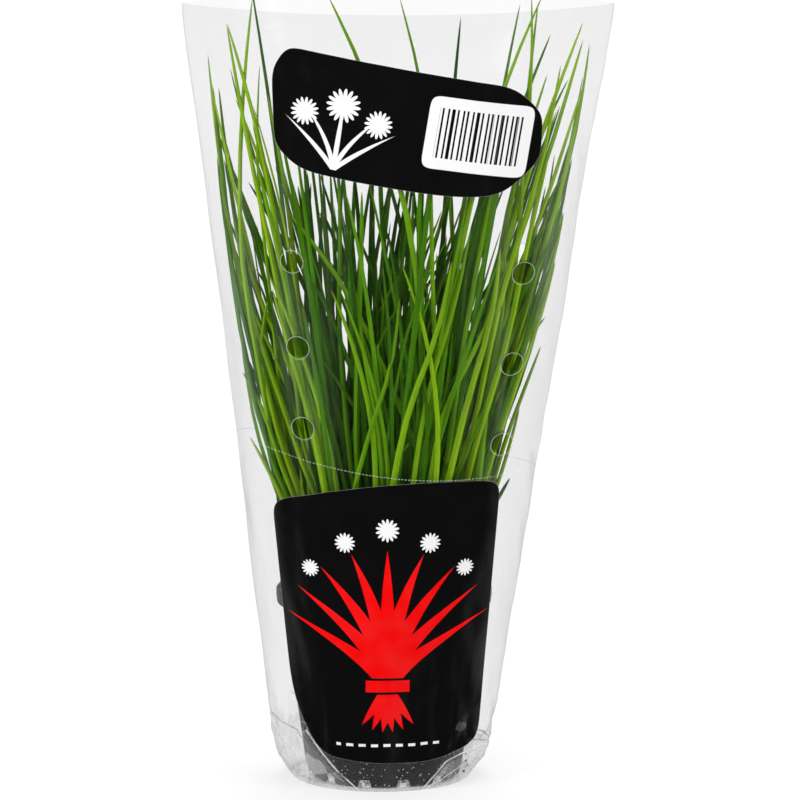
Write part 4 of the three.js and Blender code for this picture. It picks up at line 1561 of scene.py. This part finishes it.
def panel_ink(x, y, z):
    """The black panel of the front and back, with its sheaf of blades. Returns cover and colour."""
    sides = [*zip(PANEL_EDGE, PANEL_EDGE[1:]), *PANEL_RIGHT]
    along = x - PANEL_PEAK
    top = z + along * along * PANEL_SAG - PANEL_TOP
    outside = rounded(PANEL_CORNERS, *(beyond(x, z, *side) for side in sides), top)
    aside, level = abs(x - SHEAF_X), abs(z - SHEAF_Z)
    sheaf = [stroke(aside, z, SHEAF_Z, *blade) for blade in BLADES]
    sheaf += [stroke(aside, 2 * SHEAF_Z - z, SHEAF_Z, *stem) for stem in STEMS]
    tie = all_of(TIE_HIGH - level, TIE_WIDE - aside)
    red = any_of(all_of(any_of(*sheaf), level - TIE_GAP), tie)
    dashes = all_of(DASH_HIGH - abs(z - DASHES_AT), x.wave(1.3) + 0.2, DASHES_TO - aside)
    white = any_of(*(flower(aside, z, *head) for head in PANEL_FLOWERS), dashes)
    return inked(0 - outside), dye(BLACK, (inked(red), RED), (inked(white), WHITE))


print("the panel is", PANEL_TOP - min(z for _, z in PANEL_EDGE), "mm high")

# %% The label's design

LABEL_EDGE = [(-20.3, 243), (-31, 245), (-41.8, 255), (-42.7, 285), (-36, 293.6), (10.1, 286), (50, 277.5)]
LABEL_EDGE += [(61.2, 266), (60.2, 248), (46, 236.3), (33, 234.6), (-20.3, 243)]
LABEL_SLANT, LABEL_CORNERS = math.radians(-9.5), 6.0
SPRIG, SPRIG_FOOT = (-16.5, 263.0), -16.5
SPRIG_STEMS = [(27, 0, 0, 1.9), (23, 6, 9, 1.9), (17, 15, 6, 2.6)]
SPRIG_FLOWERS = [((0, 8.5), 6.6, 16), ((14.2, 3.6), 5.4, 16)]
PATCH, PATCH_WIDE, PATCH_HIGH = (36.2, 258.6), 40.5, 27.8
STRIPES_WIDE, STRIPES_HIGH = 32.4, 19.2


def label_ink(x, y, z):
    """The slanting label on the front, with flowers and a patch of plain stripes."""
    outside = rounded(LABEL_CORNERS, *(beyond(x, z, *side) for side in zip(LABEL_EDGE, LABEL_EDGE[1:])))
    c, s = math.cos(LABEL_SLANT), math.sin(LABEL_SLANT)

    def slanted(centre):
        """The label's own across and up, from a centre."""
        across = x * c + z * s - (centre[0] * c + centre[1] * s)
        return across, z * c - x * s - (centre[1] * c - centre[0] * s)

    across, up = slanted(SPRIG)
    marks = [stroke(abs(across), up, SPRIG_FOOT, *stem) for stem in SPRIG_STEMS]
    marks += [flower(abs(across), up, *head) for head in SPRIG_FLOWERS]
    across, up = slanted(PATCH)
    off_patch = rounded(LABEL_CORNERS, abs(across) - PATCH_WIDE / 2, abs(up) - PATCH_HIGH / 2)
    within = all_of(STRIPES_WIDE / 2 - abs(across), STRIPES_HIGH / 2 - abs(up))
    stripes = inked(across.wave(3.3) + across.wave(5.3) * 0.7 - 0.1, 0.2) * inked(within)
    ink = dye(BLACK, (inked(any_of(*marks, 0 - off_patch)), WHITE), (stripes, BLACK))
    return inked(0 - outside) * (0 - y).ramp(0, 1), ink


print("the label slants by", round(math.degrees(LABEL_SLANT), 1), "degrees")

# %% [markdown]
# ## Clear film
#
# Clear film is two things at once: light passes straight through it, and its skin mirrors a little, more at
# a slant. A glass shader would bend the light and need many more samples. A Mix Shader does it simply: its
# factor is how much of the ray the film keeps. That is Schlick's rule on the slant, plus a trace of haze,
# plus full cover wherever there is ink. The same factor turns bright and milky in a thin line round each
# hole and along the dotted tear line.

# %% The film's finish
STRAIGHT_MIRROR = 0.04
CLEAR, GREY_SHEEN = (0.984, 0.982, 0.984, 1), (0.86, 0.87, 0.88, 1)
STREAKS, MILKY, PANEL_SHEEN = 0.018, 0.3, 0.04
TEAR_HEIGHT, TEAR_SLOPE, TEAR_SAG = 128, 0.12, 0.0009
LOW_HAZE, CORNER_HAZE, FACET_PAINTED_LIGHT, FOLD_HAZE, FLOOR_HAZE = 0.012, 0.06, 0.13, 0.42, 0.2


def facets(spot, scale):
    """A number for each flat facet of crumpled film, the same all over the facet."""
    cell = Wire.node(spot.tree, "ShaderNodeTexVoronoi", {}, {"Vector": spot, "Scale": scale}, "Color")
    return Wire.node(spot.tree, "ShaderNodeSeparateColor", {}, {"Color": cell}, "Red")


def low_haze(tree, spot, z, crinkle):
    """The milky places low on the bag: its foot, the crumpled corners and the lines of their folds.
    In the corners each facet is painted more or less milky, a painted reflection of the crumples.
    """
    inner, outer = attribute(tree, "inner_fold"), attribute(tree, "outer_fold")
    facet = facets(stretched(spot, (1, 1, 0.8)), 210.0)
    corner = (0 - inner).ramp(0, 2) * (1 - z.ramp(12, 28))
    line = any_of(1 - abs(inner).ramp(0.1, 0.5), (1 - abs(outer).ramp(0.1, 0.4)) * 0.7)
    line = line * (1 - z.ramp(24, 31)) * crinkle.ramp(0.3, 0.55, 0.15, 1.0)
    # Each facet of the crumpled corners is painted more or less milky, a painted reflection.
    haze = (1 - z.ramp(6, 40)) * LOW_HAZE + corner * (facet.ramp(0.3, 0.8) * FACET_PAINTED_LIGHT + CORNER_HAZE)
    return haze + line * FOLD_HAZE + (1 - z.ramp(0.8, 2.4)) * FLOOR_HAZE


def film_finish(name, ink=None):
    finish, tree = new_finish(name)
    spot, (x, y, z) = place_on(tree)
    crinkle = mottle(spot, 95.0, 3.0, 0.55)
    fine = mottle(stretched(spot, (1, 1, 0.3)), 420.0, 2.0)
    streaky = mottle(stretched(spot, (1, 1, 0.12)), 62.0, 3.0, 0.6)
    haze = streaky.ramp(0.38, 0.7) * STREAKS * abs(x - 5).ramp(8, 46, 0.05, 1.0)
    if ink is not label_ink:
        haze = haze + low_haze(tree, spot, z, crinkle)
    normal = relief(crinkle + fine * 0.12, 0.6, 0.35)
    facing = Wire.node(tree, "ShaderNodeLayerWeight", {}, {"Blend": 0.5, "Normal": normal}, "Facing")
    mirror = facing**5 * (1 - STRAIGHT_MIRROR) + STRAIGHT_MIRROR
    rims = [0.09 - abs(far - 0.1) for far in hole_distances(x, z)]
    tear = abs(z - (TEAR_HEIGHT - x * TEAR_SLOPE + x * x * TEAR_SAG))
    dots = all_of(0.1 - tear, x.wave(4.6) + 0.35)
    kept = mirror + haze + inked(any_of(*rims, dots), 0.1) * MILKY
    shade, shiny = GREY_SHEEN, mirror / kept
    if ink:
        cover, printed = ink(x, y, z)
        # A painted sheen: the black ink is made lighter in soft streaks low on the panel.
        sheen = streaky.ramp(0.5, 0.75) * (1 - z.ramp(30, 70)) * PANEL_SHEEN
        kept = any_of(kept, cover)
        shade = dye(shade, (cover, dye(printed, (sheen, colour(160, 160, 160)))))
        shiny = shiny * (1 - cover)
    rough = crinkle.ramp(0.3, 0.7, 0.1, 0.22)
    film_skin = skin(tree, Base_Color=shade, Metallic=shiny, Roughness=rough, Normal=normal)
    through = Wire.node(tree, "ShaderNodeBsdfTransparent", {}, {"Color": CLEAR})
    mixed = {0: all_of(kept, 1.0), 1: through, 2: film_skin}
    finish_with(tree, Wire.node(tree, "ShaderNodeMixShader", {}, mixed))
    return finish


PANEL_ZONE = (-48, 48, 7, 129)
LABEL_ZONE = (-48, 66, 229, 298)


def in_zone(centre, zone):
    return zone[0] < centre.x / MM < zone[1] and zone[2] < centre.z / MM < zone[3]


inks = {"clear_film": None, "panel_film": panel_ink, "label_film": label_ink}
wear(film, *(film_finish(name, ink) for name, ink in inks.items()))
for face in film.data.polygons:
    panel = in_zone(face.center, PANEL_ZONE)
    label = in_zone(face.center, LABEL_ZONE) and face.center.y < 0
    face.material_index = 1 if panel else 2 if label else 0
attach(film, "root")
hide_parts("sleeve")
print("finished the sleeve")

# %% The finish of the tucks and the caught crumbs
finish, tree = new_finish("tucked_film")
spot, _ = place_on(tree)
facet = facets(spot, 900.0)
# Each facet of the tucks is painted lighter or darker, a painted light and shade of the crumples.
milky = dye(colour(150, 150, 148), (facet.ramp(0.15, 0.6), colour(246, 246, 244)))
finish_with(tree, skin(tree, Base_Color=milky, Roughness=0.3, Normal=relief(facet, 0.2, 0.5)))
wear(tucks, finish)
wear(caught, loose_mix)
for piece, slot in ((tucks, "clear_film"), (caught, "potting_mix")):
    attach(piece, "root")
print("finished the tucks and the caught crumbs")

# %% [markdown]
# ## The size, and the end
#
# The dressed plant must stay the size of its solid model. The two boxes are printed side by side.

# %% Print the sizes
dressed_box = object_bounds()
sizes = {"cad": [list(corner) for corner in cad_box], "visual": [list(corner) for corner in dressed_box]}
print("solid model", sizes["cad"], "dressed", sizes["visual"])
